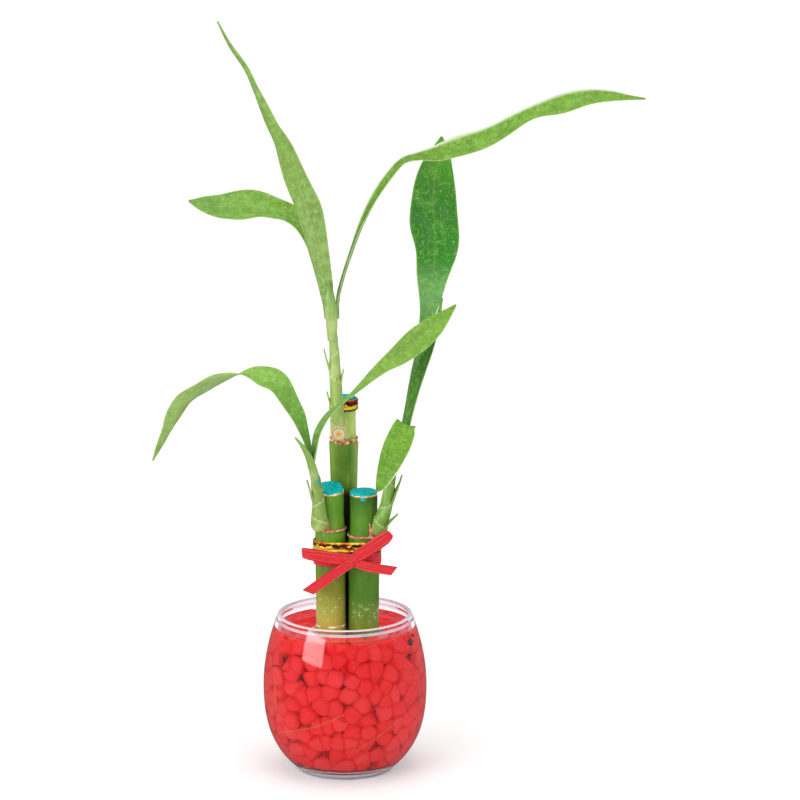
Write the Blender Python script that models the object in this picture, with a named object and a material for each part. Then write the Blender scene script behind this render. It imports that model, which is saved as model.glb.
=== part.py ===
"""A lucky bamboo in its glass bowl.

Three cut canes stand in a round clear bowl that is filled with red pebbles and water. A shoot grows from
the top node of each cane and carries the leaves. A gold foil tie and a red ribbon with a bow hold the canes
together. The origin is the centre of the bowl's flat base, +Z is up and the bow faces -Y. Sizes are in
millimetres here, and MM turns them into metres.
"""

import math
import random

import bmesh
import bpy
import numpy as np

MM = 0.001
SEED = 7
GAP = 0.3

# The bowl: its outline is two superellipse quarters that meet at the widest height.
BOWL_HEIGHT = 70.5
BOWL_RADIUS = 36.7
BOWL_WIDEST_Z = 39.5
BOWL_UPPER_REACH = 59.5
BOWL_UPPER_POWER = 1.75
BOWL_LOWER_REACH = 45.9
BOWL_LOWER_POWER = 2.58
BOWL_WALL = 2.0
BOWL_BASE = 3.4
BOWL_SIDES = 32

WATER_LEVEL = 66.2

# The pebbles: rows of stones in an uneven honeycomb along the glass, and loose stones over the top.
PEBBLE_TOP = 62.0
STONES_ROUND = 24
STONE_ROWS = 7
STONE_LOWEST_Z = 6.4
STONE_HIGHEST_Z = 60.4
STONE_FURROW = 1.8
STONE_CLEARANCE = 0.75
TOP_STONE_HALF = (4.4, 3.6, 2.5)
TOP_STONE_RINGS = ((7.0, 4), (16.0, 11), (25.2, 17))

# The canes: centre, radius below and above the top node, swelling just under it, its height, the cane's
# bottom and top, and the slope of the cut.
CANES = {
    "left": {
        "x": -6.2, "y": -5.5, "low": 6.75, "high": 6.1, "swell": 0.0,
        "node": 112.0, "bottom": 30.0, "top": 129.6, "slope": 0.26,
    },
    "right": {
        "x": 8.6, "y": -5.5, "low": 7.0, "high": 6.15, "swell": 0.0,
        "node": 109.0, "bottom": 29.0, "top": 127.8, "slope": 0.0,
    },
    "back": {
        "x": -0.3, "y": 6.4, "low": 6.1, "high": 5.4, "swell": 0.5,
        "node": 150.2, "bottom": 18.5, "top": 168.0, "slope": 0.0,
    },
}
BACK_LOWER_NODE_Z = 92.0
CANE_SIDES = 18
NODE_GROOVE = 0.45
SCAR_THICKNESS = 0.55
WAX_THICKNESS = 0.9

BLADE_THICKNESS = 0.7
BLADE_HALVES = 2

GOLD_TIE_Z = 101.8
GOLD_RIDGE = 1.7
GOLD_RIDGES = 3
GOLD_COIL_Z = 163.6
RIBBON_WIDTH = 5.4
RIBBON_THICKNESS = 0.6
RIBBON_BAND_Z = 98.6
BAND_STEPS = 28
KNOT_CENTRE = (4.4, -15.2, 99.5)
KNOT_HALF = (3.0, 2.3, 2.9)

DEPTH = np.array((0.0, 1.0, 0.0))

# A leaf's rows run from its clasping base to its tip: x, y, z of the rib, half width, turn and curl. A turn
# of 0 shows the upper face to -Y, and the curl is half the angle of the arc that the cross section follows.
LEAVES = {
    "leaf_back_tall": {
        "waves": 3.5,
        "wave": 0.5,
        "rows": (
            (-7.3, -5.65, 206.0, 1.8, 150, 52),
            (-7.6, -6.6, 214.0, 3.1, 150, 46),
            (-9.1, -7.6, 224.5, 4.6, 148, 34),
            (-13.9, -10.0, 248.4, 7.0, 144, 22),
            (-18.9, -11.0, 263.9, 6.9, 142, 20),
            (-25.7, -11.0, 281.3, 5.8, 138, 20),
            (-31.5, -10.5, 292.9, 4.3, 128, 20),
            (-37.2, -10.0, 306.2, 3.0, 118, 20),
            (-41.4, -9.5, 315.7, 2.4, 122, 18),
            (-48.4, -9.0, 326.3, 1.5, 125, 12),
            (-53.5, -9.0, 336.4, 0.4, 125, 6),
        ),
    },
    "leaf_back_low": {
        "waves": 2.5,
        "wave": 0.9,
        "rows": (
            (-6.7, -0.9, 206.0, 2.7, 37, 52),
            (-7.9, 0.0, 215.0, 2.7, 38, 48),
            (-10.6, 1.0, 228.0, 2.7, 40, 38),
            (-16.0, 2.5, 242.2, 3.7, 45, 24),
            (-24.0, 3.5, 251.0, 5.5, 50, 16),
            (-33.2, 4.0, 254.1, 7.8, 52, 12),
            (-44.1, 3.0, 254.2, 7.7, 50, 12),
            (-54.1, 1.0, 254.4, 6.5, 48, 12),
            (-61.4, 0.0, 255.9, 4.0, 45, 10),
            (-67.5, 0.0, 257.4, 0.4, 45, 6),
        ),
    },
    "leaf_back_right": {
        "waves": 4.5,
        "wave": 0.8,
        "rows": (
            (-2.15, -3.1, 206.0, 2.6, -90, 52),
            (-2.1, -3.3, 213.0, 2.6, -86, 50),
            (-0.9, -3.6, 220.0, 2.5, -82, 48),
            (2.8, -4.0, 232.4, 2.5, -76, 44),
            (9.0, -5.0, 248.9, 2.7, -72, 40),
            (17.0, -6.0, 264.5, 2.9, -66, 34),
            (25.0, -7.0, 274.8, 3.1, -60, 28),
            (32.9, -8.0, 277.6, 3.4, -56, 24),
            (43.1, -9.0, 279.7, 4.7, -52, 20),
            (56.4, -10.0, 284.2, 6.0, -50, 18),
            (69.7, -11.0, 290.4, 5.4, -50, 16),
            (82.6, -11.5, 297.4, 4.0, -50, 16),
            (95.0, -12.0, 301.3, 5.5, -50, 16),
            (106.6, -12.0, 304.2, 4.5, -50, 14),
            (115.6, -12.0, 304.6, 3.1, -50, 12),
            (122.5, -12.0, 304.1, 1.6, -50, 8),
            (130.2, -12.0, 303.5, 0.4, -50, 6),
        ),
    },
    "leaf_left_arching": {
        "waves": 3.5,
        "wave": 0.7,
        "rows": (
            (-15.7, -12.8, 141.0, 1.8, 90, 50),
            (-15.8, -13.6, 148.0, 3.2, 76, 42),
            (-18.2, -13.2, 157.6, 3.9, 62, 30),
            (-21.8, -12.8, 166.4, 4.7, 50, 22),
            (-28.4, -12.4, 177.2, 6.4, 44, 16),
            (-37.4, -12.0, 181.9, 5.2, 56, 12),
            (-48.0, -11.0, 182.0, 3.0, 101, 4),
            (-57.7, -10.0, 178.6, 5.7, 124, 12),
            (-67.4, -9.5, 172.4, 5.7, 132, 14),
            (-73.7, -9.5, 165.2, 4.7, 135, 14),
            (-77.6, -9.5, 157.3, 3.2, 132, 12),
            (-80.9, -9.5, 150.4, 2.2, 130, 10),
            (-84.3, -9.5, 143.3, 0.4, 130, 6),
        ),
    },
    "leaf_left_rising": {
        "waves": 2.5,
        "wave": 0.5,
        "rows": (
            (-10.4, -14.4, 141.0, 2.4, -80, 50),
            (-11.3, -14.7, 148.8, 2.3, -74, 46),
            (-10.3, -15.2, 157.0, 2.1, -68, 42),
            (-6.3, -16.0, 164.8, 1.9, -62, 36),
            (-0.2, -17.0, 171.2, 1.5, -58, 28),
            (5.6, -18.0, 176.2, 1.4, -55, 24),
            (17.6, -18.6, 187.4, 3.5, -48, 18),
            (26.0, -19.0, 193.9, 5.9, -45, 16),
            (33.4, -19.0, 199.5, 6.9, -45, 14),
            (39.6, -19.0, 205.0, 5.6, -45, 14),
            (44.5, -19.0, 210.0, 3.2, -45, 12),
            (49.0, -19.0, 214.9, 0.4, -45, 6),
        ),
    },
    "leaf_right_folded": {
        "waves": 1.5,
        "wave": 0.3,
        "toward": (1.0, 0.0, 0.0),
        "rows": (
            (25.0, -17.0, 146.0, 2.5, -90, 46),
            (26.4, -17.4, 152.0, 3.0, -90, 36),
            (27.2, -18.2, 158.0, 3.8, -90, 24),
            (26.9, -19.8, 161.0, 4.5, -90, 14),
            (25.6, -21.4, 159.4, 5.0, -90, 12),
            (23.8, -22.4, 154.4, 5.4, -88, 12),
            (21.2, -22.6, 147.4, 4.9, -86, 12),
            (18.7, -22.4, 140.9, 3.8, -84, 12),
            (16.2, -22.0, 135.2, 2.2, -82, 10),
            (14.2, -21.6, 131.0, 0.4, -82, 6),
        ),
    },
    "leaf_right_tall": {
        "waves": 3.5,
        "wave": 0.6,
        "rows": (
            (24.2, -9.5, 146.0, 2.3, 62, 50),
            (25.0, -9.8, 154.0, 2.3, 50, 50),
            (28.6, -7.2, 169.6, 2.3, 32, 46),
            (31.5, -4.6, 183.6, 2.3, 22, 42),
            (33.4, -2.8, 192.2, 2.4, 18, 38),
            (35.8, -1.0, 205.0, 3.4, 16, 32),
            (38.4, 1.5, 219.0, 6.2, 15, 26),
            (39.7, 3.8, 232.7, 9.4, 15, 20),
            (39.7, 5.6, 246.1, 11.2, 15, 16),
            (39.2, 7.0, 259.2, 10.1, 15, 14),
            (40.5, 8.0, 270.0, 7.8, 15, 14),
            (42.2, 8.6, 277.9, 4.6, 15, 12),
            (42.9, 9.0, 284.5, 0.4, 15, 6),
        ),
    },
    "leaf_right_narrow": {
        "waves": 1.5,
        "wave": 0.3,
        "rows": (
            (27.0, -13.0, 146.0, 2.4, -70, 50),
            (28.2, -12.8, 158.0, 2.7, -66, 48),
            (31.7, -12.0, 174.0, 4.4, -64, 38),
            (35.3, -10.8, 185.4, 4.7, -62, 32),
            (38.6, -9.2, 195.4, 3.9, -60, 28),
            (41.2, -8.2, 205.4, 2.0, -56, 20),
            (43.2, -7.2, 215.8, 0.4, -55, 8),
        ),
    },
}

# A shoot's stem rows: x, y, z, radius. A sheath's rows are like a leaf's, and its last row is its free tip.
SHOOTS = {
    "back": {
        "stem": (
            (-2.4, -2.0, 151.3, 1.6),
            (-2.4, -2.1, 152.2, 2.7),
            (-2.5, -2.15, 154.2, 3.2),
            (-2.7, -2.6, 157.9, 3.0),
            (-3.0, -3.4, 163.0, 2.8),
            (-3.6, -3.4, 178.0, 2.7),
            (-4.3, -3.3, 192.0, 2.5),
            (-4.9, -3.2, 203.0, 2.3),
            (-5.3, -3.2, 209.0, 1.9),
            (-5.5, -3.2, 214.0, 0.8),
        ),
        "sheaths": (
            (
                (-5.0, -5.3, 196.0, 2.2, 180, 55),
                (-5.2, -7.1, 204.0, 2.7, 180, 46),
                (-5.4, -8.4, 211.0, 2.6, 180, 36),
                (-5.8, -9.2, 218.4, 1.6, 180, 20),
                (-6.2, -9.8, 222.8, 0.4, 180, 8),
            ),
            (
                (-5.3, -3.2, 177.0, 2.4, 95, 55),
                (-6.6, -3.4, 183.4, 1.8, 95, 48),
                (-7.8, -3.8, 188.4, 1.0, 95, 30),
                (-8.7, -4.0, 192.4, 0.4, 95, 8),
            ),
            (
                (-1.9, -3.4, 169.0, 2.4, -80, 55),
                (-1.5, -3.8, 175.0, 1.8, -80, 48),
                (-0.8, -4.1, 180.0, 1.0, -80, 30),
                (-0.1, -4.3, 183.4, 0.4, -80, 8),
            ),
            (
                (-4.6, -3.2, 160.0, 2.2, 95, 55),
                (-5.8, -3.5, 166.0, 1.4, 95, 44),
                (-6.7, -3.8, 170.0, 0.8, 95, 24),
                (-7.4, -4.0, 173.2, 0.4, 95, 8),
            ),
        ),
    },
    "left": {
        "stem": (
            (-11.0, -13.6, 112.4, 1.5),
            (-11.0, -13.6, 113.2, 2.5),
            (-10.9, -13.65, 115.2, 3.1),
            (-10.9, -13.7, 119.7, 2.9),
            (-11.4, -13.8, 127.0, 2.8),
            (-12.1, -13.8, 134.6, 2.6),
            (-12.7, -13.9, 138.6, 2.0),
            (-13.1, -13.9, 142.4, 0.9),
        ),
        "sheaths": (
            (
                (-12.6, -15.9, 132.0, 2.2, 150, 55),
                (-13.6, -17.0, 139.6, 2.5, 150, 46),
                (-15.4, -17.5, 146.2, 2.1, 145, 34),
                (-18.2, -17.8, 151.8, 1.2, 140, 20),
                (-21.2, -17.8, 155.7, 0.4, 140, 8),
            ),
            (
                (-13.0, -14.4, 123.0, 2.2, 105, 55),
                (-14.3, -14.8, 128.4, 1.4, 105, 44),
                (-15.3, -15.0, 132.6, 0.8, 105, 24),
                (-16.2, -15.0, 135.9, 0.4, 105, 8),
            ),
        ),
    },
    "right": {
        "stem": (
            (15.6, -11.6, 109.8, 1.5),
            (15.6, -11.6, 110.6, 2.5),
            (15.7, -11.65, 112.8, 3.0),
            (16.4, -11.9, 116.6, 3.0),
            (18.3, -12.5, 122.8, 2.9),
            (19.9, -13.2, 131.2, 2.7),
            (21.2, -13.4, 138.4, 2.4),
            (22.6, -13.6, 145.0, 2.0),
            (24.1, -13.7, 150.6, 0.8),
        ),
        "sheaths": (
            (
                (21.2, -14.2, 124.6, 2.3, -80, 55),
                (23.2, -14.6, 130.6, 1.7, -80, 46),
                (24.5, -14.8, 134.4, 1.0, -80, 30),
                (25.6, -15.0, 138.1, 0.4, -80, 8),
            ),
            (
                (17.4, -13.8, 112.4, 1.9, -70, 55),
                (19.6, -14.2, 115.8, 1.5, -75, 44),
                (22.0, -14.6, 118.6, 0.9, -80, 24),
                (23.8, -14.8, 120.5, 0.4, -80, 8),
            ),
        ),
    },
}

# The bow: rows of x, y, z, half width, turn and curl, as for a leaf. A slant cuts the free end at an angle.
BOW = {
    "loop_left": {
        "toward": (-0.05, 0.0, 1.0),
        "rows": (
            (3.0, -16.4, 100.2, 2.5, 90, 0),
            (-1.0, -17.0, 100.5, 2.6, 90, 0),
            (-5.0, -17.3, 101.0, 2.7, 90, 0),
            (-9.0, -17.3, 101.5, 2.7, 90, 0),
            (-13.0, -17.1, 102.1, 2.5, 90, 0),
            (-16.4, -16.8, 102.7, 2.2, 90, 0),
            (-17.8, -16.4, 102.9, 2.1, 90, 0),
            (-18.4, -15.7, 103.0, 2.1, 90, 0),
            (-17.8, -15.0, 102.9, 2.1, 90, 0),
            (-16.4, -14.75, 102.7, 2.1, 90, 0),
            (-12.0, -14.7, 102.0, 2.3, 90, 0),
            (-4.0, -14.8, 100.6, 2.4, 90, 0),
            (3.0, -14.9, 100.0, 2.2, 90, 0),
        ),
    },
    "loop_right": {
        "toward": (-0.6, 0.0, 0.8),
        "rows": (
            (4.6, -16.4, 100.6, 2.2, 90, 0),
            (7.5, -17.5, 102.9, 2.8, 90, 0),
            (10.2, -18.0, 104.7, 2.9, 90, 0),
            (12.8, -18.4, 106.5, 2.9, 90, 0),
            (15.4, -18.6, 108.4, 2.85, 90, 0),
            (18.0, -18.7, 110.4, 2.8, 90, 0),
            (19.6, -18.5, 111.6, 2.7, 90, 0),
            (20.3, -17.9, 112.2, 2.6, 90, 0),
            (19.6, -17.3, 111.6, 2.5, 90, 0),
            (18.0, -17.1, 110.4, 2.5, 90, 0),
            (12.6, -17.0, 106.3, 2.5, 90, 0),
            (8.0, -16.3, 103.0, 2.5, 90, 0),
            (4.6, -15.2, 100.2, 2.2, 90, 0),
        ),
    },
    "tail_left": {
        "slant": -0.6,
        "rows": (
            (3.4, -16.6, 99.0, 2.2, 180, 0),
            (0.2, -17.2, 97.0, 2.3, 180, 0),
            (-3.1, -17.6, 94.8, 2.3, 180, 0),
            (-8.8, -18.0, 90.8, 2.3, 180, 0),
            (-15.9, -18.0, 85.6, 2.3, 180, 0),
        ),
    },
    "tail_right": {
        "slant": -0.53,
        "rows": (
            (4.6, -16.2, 98.8, 2.1, 0, 0),
            (9.6, -17.2, 97.4, 2.1, 0, 0),
            (15.0, -17.6, 96.3, 2.1, 0, 0),
            (22.2, -17.8, 95.2, 2.1, 0, 0),
        ),
    },
}


def clear_scene():
    for obj in list(bpy.data.objects):
        bpy.data.objects.remove(obj, do_unlink=True)


def material(name, colour, roughness, metallic=0.0, transmission=0.0):
    made = bpy.data.materials.new(name)
    made.use_nodes = True
    shader = made.node_tree.nodes["Principled BSDF"]
    shader.inputs["Base Color"].default_value = (*colour, 1.0)
    shader.inputs["Roughness"].default_value = roughness
    shader.inputs["Metallic"].default_value = metallic
    shader.inputs["Transmission Weight"].default_value = transmission
    return made


def add_object(name, points, faces, finish):
    """A closed mesh object from points in millimetres, with its faces turned outward and shaded smooth."""
    mesh = bpy.data.meshes.new(name)
    mesh.from_pydata([tuple(np.asarray(point, float) * MM) for point in points], [], faces)
    shape = bmesh.new()
    shape.from_mesh(mesh)
    bmesh.ops.recalc_face_normals(shape, faces=shape.faces)
    shape.to_mesh(mesh)
    shape.free()
    mesh.shade_smooth()
    mesh.set_sharp_from_angle(angle=math.radians(40))
    obj = bpy.data.objects.new(name, mesh)
    bpy.context.scene.collection.objects.link(obj)
    obj.data.materials.append(finish)
    return obj


def apply_boolean(target, others, operation, solver="EXACT"):
    """Joins or cuts the target with a collection of other objects, which are then removed."""
    tools = bpy.data.collections.new(target.name + "_tools")
    for other in others:
        tools.objects.link(other)
    modifier = target.modifiers.new("boolean", "BOOLEAN")
    modifier.operand_type = "COLLECTION"
    modifier.collection = tools
    modifier.operation = operation
    modifier.solver = solver
    bpy.context.view_layer.update()
    graph = bpy.context.evaluated_depsgraph_get()
    result = bpy.data.meshes.new_from_object(target.evaluated_get(graph))
    target.modifiers.clear()
    target.data = result
    for other in others:
        bpy.data.objects.remove(other, do_unlink=True)
    bpy.data.collections.remove(tools)
    result.shade_smooth()
    result.set_sharp_from_angle(angle=math.radians(40))
    return target


def curve_through(rows, steps):
    """Points on the Catmull-Rom curve through the rows, steps of them between each two rows."""
    rows = np.asarray(rows, float)
    ends = np.vstack([2 * rows[0] - rows[1], rows, 2 * rows[-1] - rows[-2]])
    points = []
    for index in range(1, len(ends) - 2):
        before, start, end, after = ends[index - 1 : index + 3]
        for step in range(steps):
            t = step / steps
            points.append(
                0.5 * (2 * start + (end - before) * t + (2 * before - 5 * start + 4 * end - after) * t**2
                       + (3 * start - before - 3 * end + after) * t**3)
            )
    points.append(rows[-1])
    return np.array(points)


def unit(vector):
    return vector / np.linalg.norm(vector)


def blade(name, rows, finish, steps=2, halves=BLADE_HALVES, toward=DEPTH, wave=0.0, waves=1.0,
          thickness=BLADE_THICKNESS, slant=0.0):
    """A thin blade along the rows' curve. Both faces are split into triangles along the same diagonals."""
    line = curve_through(rows, steps)
    centres = line[:, :3]
    tangents = np.gradient(centres, axis=0)
    count = len(line)
    across = 2 * halves + 1
    upper = np.zeros((count, across, 3))
    lower = np.zeros((count, across, 3))
    for i in range(count):
        tangent = unit(tangents[i])
        first = unit(np.cross(toward, tangent))
        second = np.cross(tangent, first)
        half, turn, curl = max(line[i, 3], 0.4), math.radians(line[i, 4]), max(math.radians(line[i, 5]), 0.02)
        side = math.cos(turn) * first + math.sin(turn) * second
        face = np.cross(side, tangent)
        progress = i / (count - 1)
        swell = math.sin(math.pi * min(progress * 1.05, 1.0)) ** 2
        for j in range(across):
            s = (j - halves) / halves
            lateral = half / curl * math.sin(curl * s)
            sag = half / curl * (1 - math.cos(curl * s))
            ripple = wave * swell * s * s * math.sin(2 * math.pi * waves * progress + (0.0 if s < 0 else 2.1))
            point = centres[i] + side * lateral + face * (sag + ripple)
            if i == count - 1:
                point = point + tangent * slant * lateral
            normal = face * math.cos(curl * s) - side * math.sin(curl * s)
            upper[i, j] = point + normal * thickness / 2
            lower[i, j] = point - normal * thickness / 2
    points = np.concatenate([upper.reshape(-1, 3), lower.reshape(-1, 3)])
    under = count * across
    faces = []
    for i in range(count - 1):
        for j in range(across - 1):
            a = i * across + j
            b, c, d = a + 1, a + across + 1, a + across
            faces += [(a, b, c), (a, c, d)]
            faces += [(a + under, c + under, b + under), (a + under, d + under, c + under)]
        for a in (i * across, i * across + across - 1):
            d = a + across
            faces += [(a, d, d + under), (a, d + under, a + under)]
    for i in (0, count - 1):
        for a in range(i * across, i * across + across - 1):
            faces += [(a, a + 1, a + 1 + under), (a, a + 1 + under, a + under)]
    return add_object(name, points, faces, finish)


def tube(name, rows, sides, finish, steps=1):
    """A round stem through rows of x, y, z and radius, with flat ends."""
    line = curve_through(rows, steps)
    tangents = np.gradient(line[:, :3], axis=0)
    points = []
    for (x, y, z, radius), tangent in zip(line, tangents):
        first = unit(np.cross(DEPTH, tangent))
        second = np.cross(unit(tangent), first)
        for k in range(sides):
            angle = 2 * math.pi * k / sides
            points.append(np.array((x, y, z)) + radius * (math.cos(angle) * first + math.sin(angle) * second))
    faces = [
        (i * sides + k, i * sides + (k + 1) % sides, (i + 1) * sides + (k + 1) % sides, (i + 1) * sides + k)
        for i in range(len(line) - 1)
        for k in range(sides)
    ]
    faces.append(tuple(range(sides)))
    faces.append(tuple((len(line) - 1) * sides + k for k in range(sides)))
    return add_object(name, points, faces, finish)


def lathe(name, profile, sides, finish, centre=(0.0, 0.0), shape=None):
    """A solid turned from rows of radius and z about a vertical axis. The shape can move each point."""
    points = []
    rings = []
    for index, (radius, z) in enumerate(profile):
        if radius <= 0:
            rings.append([len(points)])
            points.append((centre[0], centre[1], z))
            continue
        rings.append(list(range(len(points), len(points) + sides)))
        for k in range(sides):
            angle = 2 * math.pi * k / sides
            r, height = (radius, z) if shape is None else shape(index, k, angle, radius, z)
            points.append((centre[0] + r * math.cos(angle), centre[1] + r * math.sin(angle), height))
    faces = []
    closed = profile[0][0] > 0 and profile[-1][0] > 0
    pairs = list(zip(rings, rings[1:])) + ([(rings[-1], rings[0])] if closed else [])
    for below, above in pairs:
        for k in range(sides):
            following = (k + 1) % sides
            if len(below) == 1:
                faces.append((below[0], above[k], above[following]))
            elif len(above) == 1:
                faces.append((below[k], below[following], above[0]))
            else:
                faces.append((below[k], below[following], above[following], above[k]))
    return add_object(name, points, faces, finish)


def bowl_radius(z):
    above = z > BOWL_WIDEST_Z
    reach = BOWL_UPPER_REACH if above else BOWL_LOWER_REACH
    power = BOWL_UPPER_POWER if above else BOWL_LOWER_POWER
    return BOWL_RADIUS * math.sqrt(max(0.0, 1 - (abs(z - BOWL_WIDEST_Z) / reach) ** power))


def inner_radius(z):
    return bowl_radius(z) - BOWL_WALL


def make_bowl(finish):
    rim = BOWL_WALL / 2
    rim_z = BOWL_HEIGHT - rim
    outer_heights = (0.0, 1.2, 4.0, 8.5, 14.5, 22.0, 31.0, 40.0, 50.0, 60.0)
    inner_heights = (60.0, 50.0, 40.0, 31.0, 22.0, 14.5, 8.5, BOWL_BASE + 2.6)
    profile = [(0.0, 0.0)]
    profile += [(bowl_radius(z), z) for z in outer_heights]
    middle = bowl_radius(rim_z) - rim
    for step in range(5):
        angle = math.pi * step / 4
        profile.append((middle + rim * math.cos(angle), rim_z + rim * math.sin(angle)))
    profile += [(inner_radius(z), z) for z in inner_heights]
    floor = inner_radius(BOWL_BASE + 2.6)
    profile += [(floor - 0.7, BOWL_BASE + 0.9), (floor - 2.6, BOWL_BASE), (0.0, BOWL_BASE)]
    return lathe("glass_bowl", profile, BOWL_SIDES, finish)


def cane_cutters(bottom_of, top, finish):
    """Plain round holes for the canes, from a height for each cane up to the given top."""
    holes = []
    for side, cane in CANES.items():
        radius = cane["low"] + GAP
        rows = ((cane["x"], cane["y"], bottom_of(cane), radius), (cane["x"], cane["y"], top, radius))
        hole = tube("hole_" + side, rows, CANE_SIDES, finish)
        hole.hide_render = True
        hole.display_type = "WIRE"
        holes.append(hole)
    return holes


def furrow_points(draw):
    """The corners where stones meet: uneven zigzag lines round the bed, given as angle, z and depth."""
    step = (STONE_HIGHEST_Z - STONE_LOWEST_Z) / STONE_ROWS
    lines = []
    for line in range(STONE_ROWS + 1):
        edge = line in (0, STONE_ROWS)
        middle = STONE_LOWEST_Z + line * step
        corners = []
        for m in range(2 * STONES_ROUND):
            up = (0.3 if edge else 0.17 * step) * (1 if (m + line) % 2 else -1)
            angle = math.pi * (m + draw.uniform(-0.34, 0.34)) / STONES_ROUND
            z = middle + up + draw.uniform(-1.0, 1.0) * (0.3 if edge else 1.1)
            corners.append((angle, z, STONE_FURROW + draw.uniform(-0.3, 0.2)))
        lines.append(corners)
    return lines


def stone_point(angle, z, depth):
    radius = inner_radius(z) - STONE_CLEARANCE - depth
    return (radius * math.cos(angle), radius * math.sin(angle), z)


def add_stone(points, faces, corners, draw):
    """One stone of the side: a ring inside its six corners is raised, with a crown at its middle."""
    spots = [points[index] for index in corners]
    first = math.atan2(spots[0][1], spots[0][0])
    angles = [first + math.remainder(math.atan2(y, x) - first, 2 * math.pi) for x, y, _ in spots]
    middle_angle = sum(angles) / 6
    middle_z = sum(spot[2] for spot in spots) / 6
    tilt = draw.uniform(0, 2 * math.pi)
    shrink = draw.uniform(0.62, 0.74)
    ring = []
    for k in range(6):
        angle = middle_angle + shrink * (angles[k] - middle_angle)
        z = middle_z + shrink * (spots[k][2] - middle_z)
        ring.append(len(points))
        points.append(stone_point(angle, z, 0.4 + 0.35 * math.cos(tilt + k * math.pi / 3)))
    crown = len(points)
    points.append(stone_point(middle_angle, middle_z, 0.0))
    for k in range(6):
        following = (k + 1) % 6
        faces.append((corners[k], corners[following], ring[following], ring[k]))
        faces.append((ring[k], ring[following], crown))


def make_stone_side(draw, finish):
    """The bed's body: a flat floor, stones all round the side, and a shallow top under the loose stones."""
    around = 2 * STONES_ROUND
    floor = BOWL_BASE + GAP
    floor_radius = inner_radius(STONE_LOWEST_Z) - 3.8
    points = []
    lines = []
    for line in furrow_points(draw):
        lines.append(list(range(len(points), len(points) + around)))
        points += [stone_point(*corner) for corner in line]
    faces = []
    for row in range(STONE_ROWS):
        for k in range(STONES_ROUND):
            m = 2 * k + row % 2
            left, right = (m - 1) % around, (m + 1) % around
            m %= around
            below, above = lines[row], lines[row + 1]
            corners = (below[left], below[m], below[right], above[right], above[m], above[left])
            add_stone(points, faces, corners, draw)
    bottom = list(range(len(points), len(points) + around))
    for m in range(around):
        angle = math.pi * m / STONES_ROUND
        points.append((floor_radius * math.cos(angle), floor_radius * math.sin(angle), floor))
    faces.append(tuple(bottom))
    centre = len(points)
    points.append((0.0, 0.0, PEBBLE_TOP - TOP_STONE_HALF[2] - 0.4))
    for m in range(around):
        following = (m + 1) % around
        faces.append((bottom[m], bottom[following], lines[0][following], lines[0][m]))
        faces.append((lines[-1][m], lines[-1][following], centre))
    return add_object("pebble_bed", points, faces, finish)


def top_stone(name, centre, draw, finish):
    """One loose angular stone that lies flat on the bed."""
    shape = bmesh.new()
    bmesh.ops.create_icosphere(shape, subdivisions=1, radius=1.0)
    spin = draw.uniform(0, math.pi)
    halves = [half * draw.uniform(0.88, 1.08) for half in TOP_STONE_HALF]
    halves[2] = TOP_STONE_HALF[2]
    points = []
    for vertex in shape.verts:
        u, v, w = (vertex.co[axis] * halves[axis] for axis in range(3))
        x = u * math.cos(spin) - v * math.sin(spin)
        y = u * math.sin(spin) + v * math.cos(spin)
        points.append((centre[0] + x, centre[1] + y, centre[2] + w))
    faces = [tuple(vertex.index for vertex in face.verts) for face in shape.faces]
    shape.free()
    return add_object(name, points, faces, finish)


def make_pebble_bed(finish):
    """The bed as one solid: stones all round its side and over its top, and plain holes for the canes."""
    draw = random.Random(SEED)
    bed = make_stone_side(draw, finish)
    stones = []
    for ring, count in TOP_STONE_RINGS:
        for k in range(count):
            angle = 2 * math.pi * (k + draw.uniform(-0.15, 0.15)) / count + ring
            z = PEBBLE_TOP - TOP_STONE_HALF[2] - draw.uniform(0.0, 0.9)
            centre = (ring * math.cos(angle), ring * math.sin(angle), z)
            stones.append(top_stone(f"stone_{len(stones)}", centre, draw, finish))
    apply_boolean(bed, stones, "UNION", "MANIFOLD")
    holes = cane_cutters(lambda cane: cane["bottom"] - GAP, PEBBLE_TOP + 5, finish)
    return apply_boolean(bed, holes, "DIFFERENCE")


def make_water(finish):
    """The clear water above the stones, with plain holes for the canes."""
    low = PEBBLE_TOP + GAP
    profile = [(0.0, low), (inner_radius(low) - GAP, low), (inner_radius(WATER_LEVEL) - GAP, WATER_LEVEL),
               (0.0, WATER_LEVEL)]
    water = lathe("water", profile, BOWL_SIDES, finish)
    return apply_boolean(water, cane_cutters(lambda cane: low - 2, WATER_LEVEL + 2, finish), "DIFFERENCE")


def cane_profile(side):
    """Rows of radius and z: a groove and a swelling at each node, and a slight waist between the nodes."""
    cane = CANES[side]
    low, high, node, swell = cane["low"], cane["high"], cane["node"], cane["swell"]
    waist = 0.25
    rows = [(0.0, cane["bottom"]), (low - 0.5, cane["bottom"]), (low - 0.1, cane["bottom"] + 1.0)]
    rows += [(low - 0.1, WATER_LEVEL), (low - waist, WATER_LEVEL + 14.0)]
    if side == "back":
        rows.append((low - 0.1, BACK_LOWER_NODE_Z - 1.5))
        rows.append((low - 0.5, BACK_LOWER_NODE_Z))
        rows.append((low - 0.2, BACK_LOWER_NODE_Z + 1.5))
        rows.append((low - waist, 122.0))
    rows += [(low + 0.3 * swell, node - 9.0), (low + swell, node - 2.0)]
    rows += [(low - NODE_GROOVE, node - 1.0), (low - NODE_GROOVE, node + 0.6)]
    rows += [(high + 0.15, node + 1.4), (high - 0.1, node + 6.0), (high, cane["top"] - 0.6)]
    rows += [(high - 0.4, cane["top"]), (0.0, cane["top"])]
    return rows


def cut_slope(cane):
    """Tilts what lies above the node so that the cut faces a little to the front."""
    def shape(index, k, angle, radius, z):
        share = max(0.0, (z - cane["node"] - 6.0) / (cane["top"] - cane["node"] - 6.0))
        return radius, z + share * cane["slope"] * radius * math.sin(angle)
    return shape


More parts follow.
